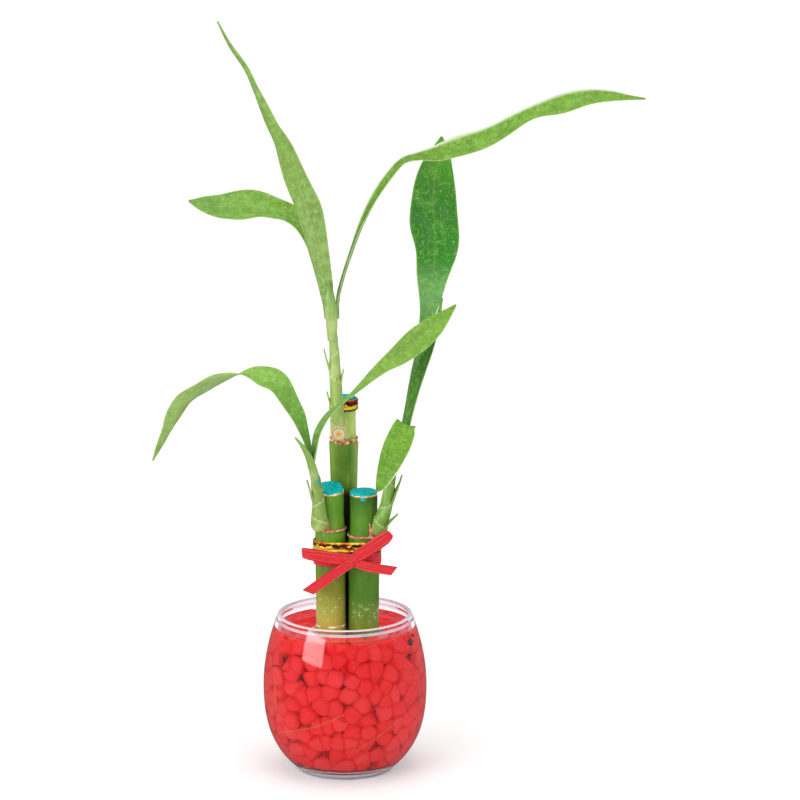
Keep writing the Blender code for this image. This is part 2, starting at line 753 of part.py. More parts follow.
def make_cane(side, finish):
    cane = CANES[side]
    centre = (cane["x"], cane["y"])
    return lathe("cane_" + side, cane_profile(side), CANE_SIDES, finish, centre, cut_slope(cane))


def make_scar_ring(side, finish):
    """The dried collar that the old leaf left at the node, with a torn edge and a few root nubs below it."""
    cane = CANES[side]
    draw = random.Random(SEED + len(side))
    inner = cane["low"] - NODE_GROOVE + GAP
    outer = inner + SCAR_THICKNESS
    rough = [draw.uniform(-0.25, 0.25) for _ in range(CANE_SIDES)]
    nubs = set(draw.sample(range(CANE_SIDES), 4 if side == "back" else 2))
    node = cane["node"]
    profile = [(inner, node - 0.45), (outer - 0.15, node - 0.8)]
    profile += [(outer, node - 0.1), (inner + 0.1, node + 0.5)]

    def shape(index, k, angle, radius, z):
        if index in (1, 2):
            radius += 0.4 * rough[k]
            z += 0.6 * rough[(k * 5) % CANE_SIDES]
        if index == 1 and k in nubs:
            radius += 0.25
            z -= 0.6
        return radius, z

    return lathe("leaf_scar_" + side, profile, CANE_SIDES, finish, (cane["x"], cane["y"]), shape)


def make_wax(side, finish):
    """The wax that seals the cut: a thin uneven cap that rests on it."""
    cane = CANES[side]
    draw = random.Random(SEED + 3 * len(side))
    uneven = [draw.uniform(-0.35, 0.25) for _ in range(CANE_SIDES)]
    radius = cane["high"] - 0.35
    low = cane["top"] + GAP * 0.5
    profile = [(0.0, low), (radius - 0.3, low), (radius, low + 0.4), (radius - 0.6, low + WAX_THICKNESS),
               (0.45 * radius, low + WAX_THICKNESS + 0.1), (0.0, low + WAX_THICKNESS)]

    def shape(index, k, angle, r, z):
        if index in (1, 2, 3):
            r += uneven[k]
        return r, z + cane["slope"] * r * math.sin(angle)

    return lathe("wax_" + side, profile, CANE_SIDES, finish, (cane["x"], cane["y"]), shape)


def make_shoot(side, finish):
    shoot = SHOOTS[side]
    stem = tube("shoot_" + side, shoot["stem"], 10, finish)
    sheaths = [
        blade(f"sheath_{side}_{k}", rows, finish, steps=1, thickness=0.8)
        for k, rows in enumerate(shoot["sheaths"])
    ]
    return apply_boolean(stem, sheaths, "UNION")


def make_leaf(name, finish):
    leaf = LEAVES[name]
    return blade(name, leaf["rows"], finish, toward=np.array(leaf.get("toward", DEPTH)), wave=leaf["wave"],
                 waves=leaf["waves"])


def hull_path(steps):
    """Points and outward directions on the tight loop round the three canes."""
    found = []
    for k in range(steps):
        angle = 2 * math.pi * k / steps
        outward = np.array((math.cos(angle), math.sin(angle)))
        reaches = [cane["x"] * outward[0] + cane["y"] * outward[1] + cane["low"] for cane in CANES.values()]
        far = list(CANES.values())[reaches.index(max(reaches))]
        found.append((np.array((far["x"], far["y"])) + far["low"] * outward, outward))
    return found


def make_loop_band(name, profile, steps, finish):
    """A closed band round the canes. The profile is a closed outline of outward offset and z."""
    points = []
    for place, outward in hull_path(steps):
        for offset, z in profile:
            spot = place + outward * offset
            points.append((spot[0], spot[1], z))
    size = len(profile)
    faces = []
    for i in range(steps):
        j = (i + 1) % steps
        for k in range(size):
            m = (k + 1) % size
            faces.append((i * size + k, i * size + m, j * size + m, j * size + k))
    return add_object(name, points, faces, finish)


def ridged_profile(inner, z, thickness):
    """A closed outline of offset and z with a rounded ridge for each turn of the foil."""
    rows = [(inner, z)]
    for turn in range(GOLD_RIDGES):
        low = z + turn * GOLD_RIDGE
        rows += [(inner + 0.45 * thickness, low), (inner + thickness, low + 0.5 * GOLD_RIDGE)]
    rows.append((inner + 0.45 * thickness, z + GOLD_RIDGES * GOLD_RIDGE))
    rows.append((inner, z + GOLD_RIDGES * GOLD_RIDGE))
    return rows


def make_gold_coil(finish):
    cane = CANES["back"]
    profile = ridged_profile(cane["high"] + GAP, GOLD_COIL_Z - 0.5, 0.9)
    return lathe("gold_coil", profile, 20, finish, (cane["x"], cane["y"]))


def make_knot(finish):
    shape = bmesh.new()
    bmesh.ops.create_icosphere(shape, subdivisions=2, radius=1.0)
    points = [tuple(KNOT_CENTRE[a] + KNOT_HALF[a] * vertex.co[a] for a in range(3)) for vertex in shape.verts]
    faces = [tuple(vertex.index for vertex in face.verts) for face in shape.faces]
    shape.free()
    return add_object("knot", points, faces, finish)


def make_ribbon(finish):
    low, high = RIBBON_BAND_Z - RIBBON_WIDTH / 2, RIBBON_BAND_Z + RIBBON_WIDTH / 2
    profile = [(GAP, low), (GAP + RIBBON_THICKNESS, low), (GAP + RIBBON_THICKNESS, high), (GAP, high)]
    band = make_loop_band("ribbon_bow", profile, BAND_STEPS, finish)
    pieces = [make_knot(finish)]
    for name, part in BOW.items():
        toward = np.array(part.get("toward", DEPTH))
        pieces.append(
            blade(name, part["rows"], finish, steps=1, halves=1, toward=toward, thickness=RIBBON_THICKNESS,
                  slant=part.get("slant", 0.0))
        )
    return apply_boolean(band, pieces, "UNION")


def main():
    clear_scene()
    make_bowl(material("clear_glass", (0.95, 0.97, 0.98), 0.03, transmission=1.0))
    make_pebble_bed(material("red_pebble", (0.78, 0.03, 0.03), 0.45))
    make_water(material("water", (0.95, 0.45, 0.45), 0.02, transmission=1.0))
    cane_green = {"left": (0.33, 0.31, 0.05), "right": (0.10, 0.19, 0.03), "back": (0.12, 0.22, 0.03)}
    for side in CANES:
        make_cane(side, material("cane_" + side, cane_green[side], 0.35))
        make_scar_ring(side, material("leaf_scar_" + side, (0.62, 0.32, 0.18), 0.8))
        make_wax(side, material("wax_" + side, (0.0, 0.38, 0.38), 0.4))
        make_shoot(side, material("shoot_" + side, (0.42, 0.58, 0.22), 0.45))
    for name in LEAVES:
        dark = name in ("leaf_right_tall", "leaf_right_narrow")
        make_leaf(name, material(name, (0.05, 0.26, 0.03) if dark else (0.24, 0.46, 0.08), 0.4))
    gold = (0.83, 0.58, 0.12)
    tie_profile = ridged_profile(GAP, GOLD_TIE_Z, 0.9)
    make_loop_band("gold_tie", tie_profile, BAND_STEPS, material("gold_tie", gold, 0.2, 1.0))
    make_gold_coil(material("gold_coil", gold, 0.2, 1.0))
    make_ribbon(material("red_ribbon", (0.72, 0.02, 0.03), 0.35))


main()
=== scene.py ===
"""The looks of a lucky bamboo in its glass bowl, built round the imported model.

Sizes and places are in millimetres in the part's own frame, and MM turns them into metres. The bowl stands
on the origin, +Z is up and the bow faces -Y. A finer piece takes the place of each plain solid and keeps
its form.
"""

import math
import random

import bmesh
import bpy
import numpy as np
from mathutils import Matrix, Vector, noise


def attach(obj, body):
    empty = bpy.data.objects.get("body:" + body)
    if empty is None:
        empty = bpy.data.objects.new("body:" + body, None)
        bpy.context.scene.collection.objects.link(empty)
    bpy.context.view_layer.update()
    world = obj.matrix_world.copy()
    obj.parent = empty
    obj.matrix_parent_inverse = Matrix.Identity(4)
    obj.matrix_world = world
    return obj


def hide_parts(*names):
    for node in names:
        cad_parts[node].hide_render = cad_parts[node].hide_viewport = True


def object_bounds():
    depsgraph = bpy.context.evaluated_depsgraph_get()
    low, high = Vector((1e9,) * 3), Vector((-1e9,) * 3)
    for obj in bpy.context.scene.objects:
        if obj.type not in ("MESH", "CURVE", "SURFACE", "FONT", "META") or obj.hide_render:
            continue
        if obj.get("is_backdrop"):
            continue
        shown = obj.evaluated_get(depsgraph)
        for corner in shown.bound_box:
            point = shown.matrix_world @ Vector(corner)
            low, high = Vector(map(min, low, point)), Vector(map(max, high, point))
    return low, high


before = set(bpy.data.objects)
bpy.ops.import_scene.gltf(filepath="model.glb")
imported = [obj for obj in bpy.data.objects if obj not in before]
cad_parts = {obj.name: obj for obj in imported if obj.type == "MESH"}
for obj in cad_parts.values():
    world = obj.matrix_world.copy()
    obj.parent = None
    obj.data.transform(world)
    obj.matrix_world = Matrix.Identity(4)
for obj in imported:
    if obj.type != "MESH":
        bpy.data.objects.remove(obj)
cad_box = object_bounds()

MM = 0.001
SEED = 11
# A difference in height that counts as none.
TINY = 0.01

# Camera.
LENS_MM = 150
SENSOR_MM = 36
CAMERA_ELEVATION = 12.1
CAMERA_DISTANCE = 1472.3
CAMERA_TARGET = (24.7, 0.0, 168.6)

# Light from the world: its strength, also for light that has passed glass and scattered. After one mirror
# reflection the sky is dim low down, by the height of the ray's direction. That holds for rays from outside
# the glass unless they go on nearly straight to +Y, and for all in the window where the water is mirrored.
SKY = 1.06
LIGHT_INTO_BOWL = 2.12
DIM_SKY = ((0.38, 0.12), (0.62, 1.0))
ONWARD_FADE = (0.985, 0.93)
WATER_MIRROR_HEIGHT = (0.22, 0.13)
WATER_MIRROR_SIDEWAYS = (0.0, 0.2)
# Lamps: name, place, aim, size and power, in metres and watts.
LAMPS = (
    ("softbox", (-0.88, -0.78, 0.35), (0.0, 0.0, 0.06), (0.7, 0.34), 4.2),
    ("front_left", (-0.9, -1.1, 1.7), (0.0, 0.0, 0.15), (1.3, 1.3), 5.0),
    ("front_right", (0.9, -1.1, 1.7), (0.0, 0.0, 0.15), (1.3, 1.3), 5.0),
)
FLOOR_REACH = 9.0

# The bowl: two superellipse quarters that meet at the widest height.
BOWL_HEIGHT = 71.2
BOWL_RADIUS = 36.7
BOWL_WIDEST_Z = 39.5
BOWL_UPPER_REACH = 59.5
BOWL_UPPER_POWER = 1.75
BOWL_LOWER_REACH = 45.9
BOWL_LOWER_POWER = 2.58
BOWL_WALL = 2.0
LIP_ROUNDING = 0.35
LIP_STEPS = 6
LIP_SEAM = 0.2
BOWL_BASE = 5.3
BASE_FILLET = 3.4
FILLET_STEPS = 8
# Under the base: how far in from the wall, and z, round a hollow.
FOOT = ((3.0, 0.45), (1.4, 0.0), (0.4, 0.0))
FOOT_HOLLOW = 0.5
BOWL_SIDES = 128
OUTSIDE_ROWS = 56
INSIDE_ROWS = 48
INSIDE_FROM_LINE = 1.2
# The bowl's finishes: name, index of refraction, two tints, share of the plain reflection and clearness. The
# water line, the base's band and the lip are partly matt and pale: painted light for the bright bands that
# clear glass shows there.
CLEAR, WET, RIM, LINE, BAND, LIP = range(6)
BOWL_GLASS = (
    ("clear_glass", 1.5, (250, 248, 250), (252, 250, 252), 1.0, 1.0),
    ("wet_glass", 1.5, (252, 253, 254), (254, 255, 255), 0.1, 1.0),
    ("rim_glass", 1.5, (180, 170, 180), (188, 178, 188), 1.0, 1.0),
    ("water_line", 1.3, (232, 236, 238), (242, 244, 246), 0.3, 0.4),
    ("base_glass", 1.5, (222, 224, 232), (232, 234, 242), 0.6, 0.4),
    ("lip_glass", 1.5, (230, 214, 220), (240, 226, 232), 0.5, 0.15),
)
# The dry glass is paler towards the front than at the back: painted light, not a tint of the glass.
RIM_FRONT_PAINTED_LIGHT = (246, 238, 246)
RIM_FRONT_TO_BACK = (-14.0, 6.0)

# Heights of the pale line in the wall, of the dry glass, of the painted glint where water climbs a cane and
# of the base's band. The pale line and the band are painted light.
WATER_LEVEL = 63.8
WATER_IOR = 1.333
WATER_INTO_GLASS = 0.2
WATER_ROWS = 50
MENISCUS = 2.0
MENISCUS_REACH = 2.2
WATER_LINE = (67.9, 69.1)
DRY_GLASS_Z = 66.0
WATER_EDGE_GLINT = (67.2, 68.4)
BASE_LINE = (0.4, 2.7)

# The pebbles. The first tries place stones at the glass, and the rest inside. A closer stone is smaller,
# because its neighbours come nearer.
PEBBLE_TOP = 63.4
PEBBLE_SPACING = 5.9
PEBBLE_CLOSENESS = (0.6, 2.0)
PEBBLE_STRETCH = 0.6
PEBBLE_OVER_BASE = 3.2
PEBBLE_UNDER_TOP = 2.6
PEBBLE_GAP = -0.2
PEBBLE_GLASS_GAP = 0.45
PEBBLE_SHARPNESS = 26
PEBBLE_SIGHT = 12.0
PEBBLE_CHIPS = 7
CHIP_REACH = (2.8, 5.0)
LEAST_REACH = 0.3
TOP_TILT = 0.25
TOP_UNEVEN = 0.8
PEBBLE_SHADE = (0.1, 1.0)
PEBBLE_TRIES = 16000
TRIES_AT_GLASS = 6000
DEPTH_AT_GLASS = (2.7, 4.0)
DEPTH_INSIDE = 6.5
# Stones keep this far from the canes, from the height where those begin.
ROOM_AT_CANES = 2.0
CANES_FROM_Z = 18
# Small dark stones at the glass: angle in degrees and z.
DARK_BITS = ((-145, 55.6), (-15, 62.0), (-22, 62.5), (-28, 55.7), (-62, 8.5))
DARK_BIT_DEPTH = 1.5
DARK_BIT_CLOSENESS = 5.0
DARK_BIT_CHIP_REACH = (0.3, 0.6)

# The canes: centre, radius below and above the top node, swelling under it, heights, the slope of the cut,
# and where the noise for its scar and its wax starts.
CANES = {
    "left": {
        "x": -6.2, "y": -5.5, "low": 6.75, "high": 6.1, "swell": 0.0,
        "node": 112.0, "bottom": 30.0, "top": 129.6, "slope": 0.2, "scar": 3.0, "wax": 1.3,
    },
    "right": {
        "x": 8.6, "y": -5.5, "low": 7.0, "high": 6.15, "swell": 0.0,
        "node": 109.0, "bottom": 29.0, "top": 127.8, "slope": 0.0, "scar": 7.5, "wax": 4.1,
    },
    "back": {
        "x": -0.3, "y": 6.4, "low": 6.1, "high": 5.4, "swell": 0.5,
        "node": 150.2, "bottom": 18.5, "top": 168.0, "slope": 0.0, "scar": 11.2, "wax": 8.6,
    },
}
# Colours of the bark at heights, and the band of heights with dried water marks.
BARK = {
    "left": {
        "colours": ((66, (181, 168, 63)), (74, (156, 158, 60)), (84, (129, 132, 39)), (98, (100, 138, 38)),
                    (129, (92, 149, 34))),
        "marks": (68, 84),
    },
    "right": {
        "colours": ((66, (108, 128, 30)), (73, (100, 133, 35)), (82, (76, 121, 31)), (98, (86, 128, 32)),
                    (116, (90, 142, 34)), (127, (58, 102, 30))),
        "marks": (68, 80),
    },
    "back": {
        "colours": ((92, (88, 122, 34)), (140, (94, 129, 33)), (149.5, (100, 136, 38)),
                    (151, (184, 206, 108)), (167, (197, 218, 126))),
        "marks": (62, 64),
    },
}
BARK_FROM_Z = WATER_LEVEL - 6.0
BACK_LOWER_NODE_Z = 92.0
BACK_WAIST_Z = 122.0
WAIST_OVER_WATER = 14.0
TILT_OVER_NODE = 6.0
# Painted light and dark on the bark: where each sets in and where it is full.
RIGHT_PAINTED_SHADE_X = (9.0, 15.0)
RIGHT_PAINTED_SHADE_Z = (112.0, 118.0)
BACK_PAINTED_LIGHT_X = (2.6, 6.0)
BACK_PAINTED_SHADE_Y = (4.5, 1.5)
BACK_PAINTED_SHADE_Z = (129.0, 125.0)
# Root nubs under the back cane's top node: angle in degrees and length.
BACK_NUBS = ((-146, 0.6), (-122, 1.1), (-103, 1.8), (-84, 1.0), (-74, 1.4), (-48, 0.6), (30, 0.8), (120, 0.9))
NUB_WIDTH = 6.5
NUB_DROP = 1.6
# Smears of wax on the right cane and on the left shoot.
DRIP = (8.6, -11.7, 126.2)
SMEAR = (-10.9, -16.4, 136.0)
CANE_SIDES = 72
CANE_ROW = 1.5
NODE_GROOVE = 0.45
WAIST = 0.25
SCAR_THICKNESS = 0.55
SCAR_SIDES = 120
# How far the torn edge of a scar moves outward and up, for its coarse and its fine noise.
TEAR_OUT = (0.25, 0.12)
TEAR_UP = (0.35, 0.2)
FLAP_THICKNESS = 0.5
# The dry flap that stands up at a scar: rows of x, y, z, half width, turn and curl.
SCAR_FLAPS = {
    "left": ((-6.9, -12.6, 111.8, 0.9, 0, 10), (-7.3, -12.5, 114.4, 0.6, 0, 10),
             (-7.6, -12.4, 118.2, 0.2, 0, 10)),
    "right": ((12.4, -11.9, 108.4, 1, 0, 10), (11.8, -11.8, 111.6, 0.7, 0, 10),
              (11.2, -11.9, 115.4, 0.2, 0, 10)),
}
WAX_THICKNESS = 0.9
WAX_SIDES = 144
WAX_SWING = 1.6
WAX_OVERHANG = 0.15
GAP = 0.3

GOLD_TIE_Z = 101.8
GOLD_RIDGE = 1.7
GOLD_RIDGES = 3
GOLD_THICKNESS = 0.85
RIDGE_STEPS = 8
RIDGE_FOOT = 0.45
RIDGE_POWER = 0.7
TIE_CRINKLE = 0.12
COIL_CRINKLE = 0.1
GOLD_COIL_Z = 163.6
COIL_FOOT_Z = GOLD_COIL_Z - 0.5
COIL_SIDES = 96
RIBBON_WIDTH = 5.4
RIBBON_THICKNESS = 0.5
RIBBON_BULGE = 0.08
RIBBON_CRINKLE = 0.05
RIBBON_WAVE = 0.12
RIBBON_WAVES = 3.0
RIBBON_EDGE_THINNING = 0.1
RIBBON_BAND_Z = 98.6
BAND_STEPS = 168
KNOT_CENTRE = (4.4, -15.2, 99.5)
KNOT_HALF = (4.2, 2.2, 2.6)
KNOT_LEAN = 36

BLADE_THICKNESS = 0.6
LEAST_CURL = 0.02
LEAST_RADIUS = 0.05
# The angle in degrees from which an edge is drawn sharp, also for foil. At 180 nothing is.
SHARP = 50
FOIL_SHARP = 70
ALL_SMOOTH = 180
# How far a leaf's edge swings in and out, as a share of its width for each millimetre of wave, and how
# often. The phases of those swings and of the ripples are given for its two edges.
EDGE_UNEVEN = 0.13
EDGE_BUMPS = 1.7
EDGE_PHASES = (1.3, 4.0)
RIPPLE_PHASES = (0.0, 2.1)
DEPTH = np.array((0.0, 1.0, 0.0))

# A leaf's rows run from its clasping base to its tip: x, y, z of the rib, half width, turn and curl. A turn
# of 0 shows the upper face to -Y, and the curl is half the angle of the arc that the cross section follows.
# Its colours are those of the base, the middle and the tip of the upper face, and of the under side.
LEAVES = {
    "leaf_back_tall": {
        "waves": 3.5, "wave": 0.5,
        "colours": ((126, 157, 88), (102, 145, 55), (92, 136, 48)),
        "under": ((126, 156, 85), (119, 156, 67), (115, 153, 67)),
        "rows": (
            (-7.3, -5.65, 206, 1.8, 150, 52), (-7.6, -6.6, 214, 3.1, 150, 46),
            (-9.1, -7.6, 224.5, 4.6, 148, 34), (-13.9, -10, 248.4, 7, 144, 22),
            (-18.9, -11, 263.9, 6.9, 142, 20), (-25.7, -11, 281.3, 5.8, 138, 20),
            (-31.5, -10.5, 292.9, 4.3, 128, 20), (-37.2, -10, 306.2, 3, 118, 20),
            (-41.4, -9.5, 315.7, 2.4, 122, 18), (-48.4, -9, 326.3, 1.5, 125, 12),
            (-53.5, -9, 336.4, 0.4, 125, 6),
        ),
    },
    "leaf_back_low": {
        "waves": 2.5, "wave": 0.9,
        "colours": ((104, 158, 46), (112, 160, 47), (112, 158, 72)),
        "under": ((134, 168, 94), (126, 164, 80), (118, 156, 74)),
        "rows": (
            (-6.7, -0.9, 206, 2.7, 37, 52), (-7.9, 0, 215, 2.7, 38, 48), (-10.6, 1, 228, 2.7, 40, 38),
            (-16, 2.5, 242.2, 3.7, 45, 24), (-24, 3.5, 251, 5.5, 50, 16), (-33.2, 4, 254.1, 7.8, 52, 12),
            (-44.1, 3, 254.9, 8.2, 50, 12), (-54.1, 1, 254.4, 6.5, 48, 12), (-61.4, 0, 255.9, 4, 45, 10),
            (-67.5, 0, 257.4, 0.4, 45, 6),
        ),
    },
    "leaf_back_right": {
        "waves": 4.5, "wave": 0.8, "edge": "back",
        "colours": ((94, 138, 46), (103, 149, 40), (108, 156, 46)),
        "under": ((142, 172, 106), (132, 166, 94), (130, 164, 90)),
        "rows": (
            (-2.15, -3.1, 206, 2.6, -90, 52), (-2.1, -3.3, 213, 2.6, -86, 50),
            (-0.9, -3.6, 220, 2.5, -82, 48), (2.8, -4, 232.4, 2.5, -76, 44), (9, -5, 248.9, 2.7, -72, 40),
            (17, -6, 264.5, 2.9, -66, 34), (25, -7, 274.8, 3.1, -60, 28), (32.9, -8, 277.6, 3.4, -56, 24),
            (43.1, -9, 279.7, 4.7, -52, 20), (56.4, -10, 284.2, 6, -50, 18),
            (69.7, -11, 290.4, 5.4, -50, 16), (82.6, -11.5, 297.4, 4, -50, 16),
            (95, -12, 301.3, 5.5, -50, 16), (106.6, -12, 304.2, 4.5, -50, 14),
            (115.6, -12, 304.6, 3.1, -50, 12), (122.5, -12, 304.1, 1.6, -50, 8),
            (130.2, -12, 303.5, 0.4, -50, 6),
        ),
    },
    "leaf_left_arching": {
        "waves": 4.3, "wave": 0.85,
        "colours": ((89, 144, 54), (135, 184, 72), (140, 186, 80)),
        "under": ((150, 186, 108), (145, 179, 104), (142, 176, 92)),
        "rows": (
            (-15.7, -12.8, 141, 1.8, 90, 50), (-15.8, -13.6, 148, 3.2, 76, 42),
            (-18.2, -13.2, 157.6, 3.9, 62, 30), (-21.8, -12.8, 166.4, 4.7, 50, 22),
            (-28, -12.4, 177.5, 6.2, 44, 16), (-36.8, -12, 182.4, 5.1, 58, 12),
            (-47.8, -11, 182.1, 3, 108, 4), (-57.7, -10, 178.6, 5.7, 124, 12),
            (-67.4, -9.5, 172.4, 5.7, 132, 14), (-73.7, -9.5, 165.2, 4.7, 135, 14),
            (-77.6, -9.5, 157.3, 3.2, 132, 12), (-80.9, -9.5, 150.4, 2.2, 130, 10),
            (-84.3, -9.5, 143.3, 0.4, 130, 6),
        ),
    },
    "leaf_left_rising": {
        "waves": 2.5, "wave": 0.5,
        "colours": ((104, 150, 82), (117, 158, 58), (104, 150, 44)),
        "under": ((136, 172, 98), (126, 164, 84), (118, 156, 74)),
        "rows": (
            (-13.4, -15.2, 141, 2.2, -80, 50), (-12.3, -14.9, 148.8, 2.7, -66, 46),
            (-10.8, -15.2, 157, 2.7, -60, 42), (-6.6, -16, 164.9, 2.2, -58, 36),
            (-0.2, -17, 171.2, 1.5, -58, 28), (5.6, -18, 176.2, 1.4, -55, 24),
            (17.6, -18.6, 187.4, 3.5, -48, 18), (26, -19, 193.9, 5.9, -45, 16),
            (33.4, -19, 199.5, 6.9, -45, 14), (39.6, -19, 205, 5.6, -45, 14),
            (44.5, -19, 210, 3.2, -45, 12), (49, -19, 214.9, 0.4, -45, 6),
        ),
    },
    "leaf_right_folded": {
        "waves": 1.5, "wave": 0.3, "toward": (0.93, 0, -0.37), "edge": "both",
        "colours": ((92, 138, 32), (106, 156, 41), (94, 143, 36)),
        "under": ((122, 162, 60), (116, 162, 52), (118, 160, 56)),
        "rows": (
            (23.6, -17, 146, 2.3, -90, 46), (25.2, -17.4, 152, 2.8, -90, 36),
            (26.9, -18.4, 158.2, 3.6, -90, 24), (27.3, -20, 161.6, 4.7, -90, 14),
            (25.9, -21.5, 159.6, 5.8, -90, 12), (23.7, -22.5, 153.6, 6.3, -88, 12),
            (21, -22.7, 147.2, 5.6, -86, 12), (18.4, -22.4, 140.9, 4.2, -84, 12),
            (16.1, -22, 135, 2.4, -82, 10), (14.4, -21.6, 132.2, 0.4, -82, 6),
        ),
    },
    "leaf_right_tall": {
        "waves": 3.5, "wave": 0.6, "places": (0.2, 0.49, 0.57, 0.72, 0.88),
        "colours": ((84, 138, 66), (105, 160, 86), (34, 124, 14), (32, 118, 12), (78, 148, 28)),
        "under": ((112, 150, 86), (106, 150, 84), (92, 142, 60), (92, 142, 60), (96, 144, 60)),
        "rows": (
            (24.2, -9.5, 146, 2.3, 62, 50), (25, -9.8, 154, 2.3, 50, 50), (28.6, -7.2, 169.6, 2.3, 32, 46),
            (31.5, -4.6, 183.6, 2.3, 22, 42), (33.4, -2.8, 192.2, 2.4, 18, 38),
            (35.8, -1, 205, 3.4, 16, 32), (38.4, 1.5, 219, 6.2, 15, 26), (39.7, 3.8, 232.7, 9.4, 15, 20),
            (39.7, 5.6, 246.1, 11.2, 15, 16), (39.2, 7, 259.2, 10.1, 15, 14), (40.5, 8, 270, 7.8, 15, 14),
            (42.2, 8.6, 277.9, 4.6, 15, 12), (42.9, 9, 284.5, 0.4, 15, 6),
        ),
    },
    "leaf_right_narrow": {
        "waves": 1.5, "wave": 0.3,
        "colours": ((76, 130, 42), (61, 122, 26), (74, 132, 34)),
        "under": ((108, 150, 78), (98, 142, 62), (98, 142, 62)),
        "rows": (
            (27, -13, 146, 2.4, -70, 50), (28.2, -12.8, 158, 2.7, -66, 48), (31.7, -12, 174, 4.4, -64, 38),
            (35.3, -10.8, 185.4, 4.7, -62, 32), (38.6, -9.2, 195.4, 3.9, -60, 28),
            (41.2, -8.2, 205.4, 2, -56, 20), (43.2, -7.2, 215.8, 0.4, -55, 8),
        ),
    },
}
LEAF_PLACES = (0.12, 0.5, 0.9)

# The eye at the foot of the back shoot, and how wide its rings reach.
BACK_EYE = (-2.2, -5.2, 154.4)
BACK_EYE_REACH = 4.4
STEM_SIDES = 40
STEM_STEPS = 14
SHEATH_SLANT = 4.5
SHEATH_STEP = 0.22
SHEATH_THICKNESS = 0.7
RIM_ROUNDING = 0.12
RIM_FADE = 0.35
# Colours of the sheaths at heights.
SHEATH_COLOURS = {
    "left": ((112, (184, 172, 110)), (116, (132, 156, 76)), (134, (122, 148, 70)), (156, (124, 156, 76))),
    "right": ((109, (160, 164, 84)), (116, (110, 146, 56)), (130, (122, 158, 68)), (151, (124, 160, 68))),
    "back": ((151, (232, 188, 140)), (157, (204, 190, 132)), (160, (152, 174, 92)), (180, (152, 175, 92)),
             (203, (158, 180, 108)), (223, (104, 146, 62))),
}

# A shoot's stem rows: x, y, z and radius. Its rims are the heights where a sheath ends. A sheath's rows are
# like a leaf's, and its last row is its free tip.
SHOOTS = {
    "back": {
        "rims": (156.5, 166, 177, 188, 198),
        "stem": (
            (-2.4, -2, 151.3, 1.6), (-2.4, -2.1, 152.2, 2.7), (-2.5, -2.15, 154.2, 3.2),
            (-2.7, -2.6, 157.9, 3), (-3, -3.4, 163, 2.8), (-3.6, -3.4, 178, 2.7), (-4.3, -3.3, 192, 2.5),
            (-4.9, -3.2, 203, 2.3), (-5.3, -3.2, 209, 1.9), (-5.5, -3.2, 214, 0.8),
        ),
        "sheaths": (
            ((-5, -5.3, 196, 2.2, 180, 55), (-5.2, -7.1, 204, 2.7, 180, 46),
             (-5.4, -8.4, 211, 2.6, 180, 36), (-5.8, -9.2, 218.4, 1.6, 180, 20),
             (-6.2, -9.8, 222.8, 0.4, 180, 8)),
            ((-5.3, -3.2, 177, 2.4, 95, 55), (-6.6, -3.4, 183.4, 1.8, 95, 48),
             (-7.8, -3.8, 188.4, 1, 95, 30), (-8.7, -4, 192.4, 0.4, 95, 8)),
            ((-1.9, -3.4, 169, 2.4, -80, 55), (-1.5, -3.8, 175, 1.8, -80, 48),
             (-0.8, -4.1, 180, 1, -80, 30), (-0.1, -4.3, 183.4, 0.4, -80, 8)),
            ((-4.6, -3.2, 160, 2.2, 95, 55), (-5.8, -3.5, 166, 1.4, 95, 44), (-6.7, -3.8, 170, 0.8, 95, 24),
             (-7.4, -4, 173.2, 0.4, 95, 8)),
        ),
    },
    "left": {
        "rims": (116, 123.5, 131),
        "stem": (
            (-11, -13.6, 112.4, 1.5), (-11, -13.6, 113.2, 2.5), (-10.9, -13.65, 115.2, 3.5),
            (-10.9, -13.7, 119.7, 3.3), (-11.4, -13.8, 127, 2.8), (-12.1, -13.8, 134.6, 2.6),
            (-12.7, -13.9, 138.6, 2), (-13.1, -13.9, 142.4, 0.9),
        ),
        "sheaths": (
            ((-12.6, -15.9, 132, 2.2, 150, 55), (-13.6, -17, 139.6, 2.5, 150, 46),
             (-15.4, -17.5, 146.2, 2.1, 145, 34), (-18.2, -17.8, 151.8, 1.2, 140, 20),
             (-21.2, -17.8, 155.7, 0.4, 140, 8)),
            ((-13, -14.4, 123, 2.2, 105, 55), (-14.3, -14.8, 128.4, 1.4, 105, 44),
             (-15.3, -15, 132.6, 0.8, 105, 24), (-16.2, -15, 135.9, 0.4, 105, 8)),
        ),
    },
    "right": {
        "rims": (113.5, 122, 132.5),
        "stem": (
            (15.6, -11.6, 109.8, 1.5), (15.6, -11.6, 110.6, 2.5), (15.7, -11.65, 112.8, 3.4),
            (16.4, -11.9, 116.6, 3.3), (18.3, -12.5, 122.8, 2.9), (19.9, -13.2, 131.2, 2.7),
            (21.2, -13.4, 138.4, 2.4), (22.6, -13.6, 145, 2), (24.1, -13.7, 150.6, 0.8),
        ),
        "sheaths": (
            ((21.2, -14.2, 124.6, 2.3, -80, 55), (23.2, -14.6, 130.6, 1.7, -80, 46),
             (24.5, -14.8, 134.4, 1, -80, 30), (25.6, -15, 138.1, 0.4, -80, 8)),
            ((17.4, -13.8, 112.4, 1.9, -70, 55), (19.6, -14.2, 115.8, 1.5, -75, 44),
             (22, -14.6, 118.6, 0.9, -80, 24), (23.8, -14.8, 120.5, 0.4, -80, 8)),
        ),
    },
}

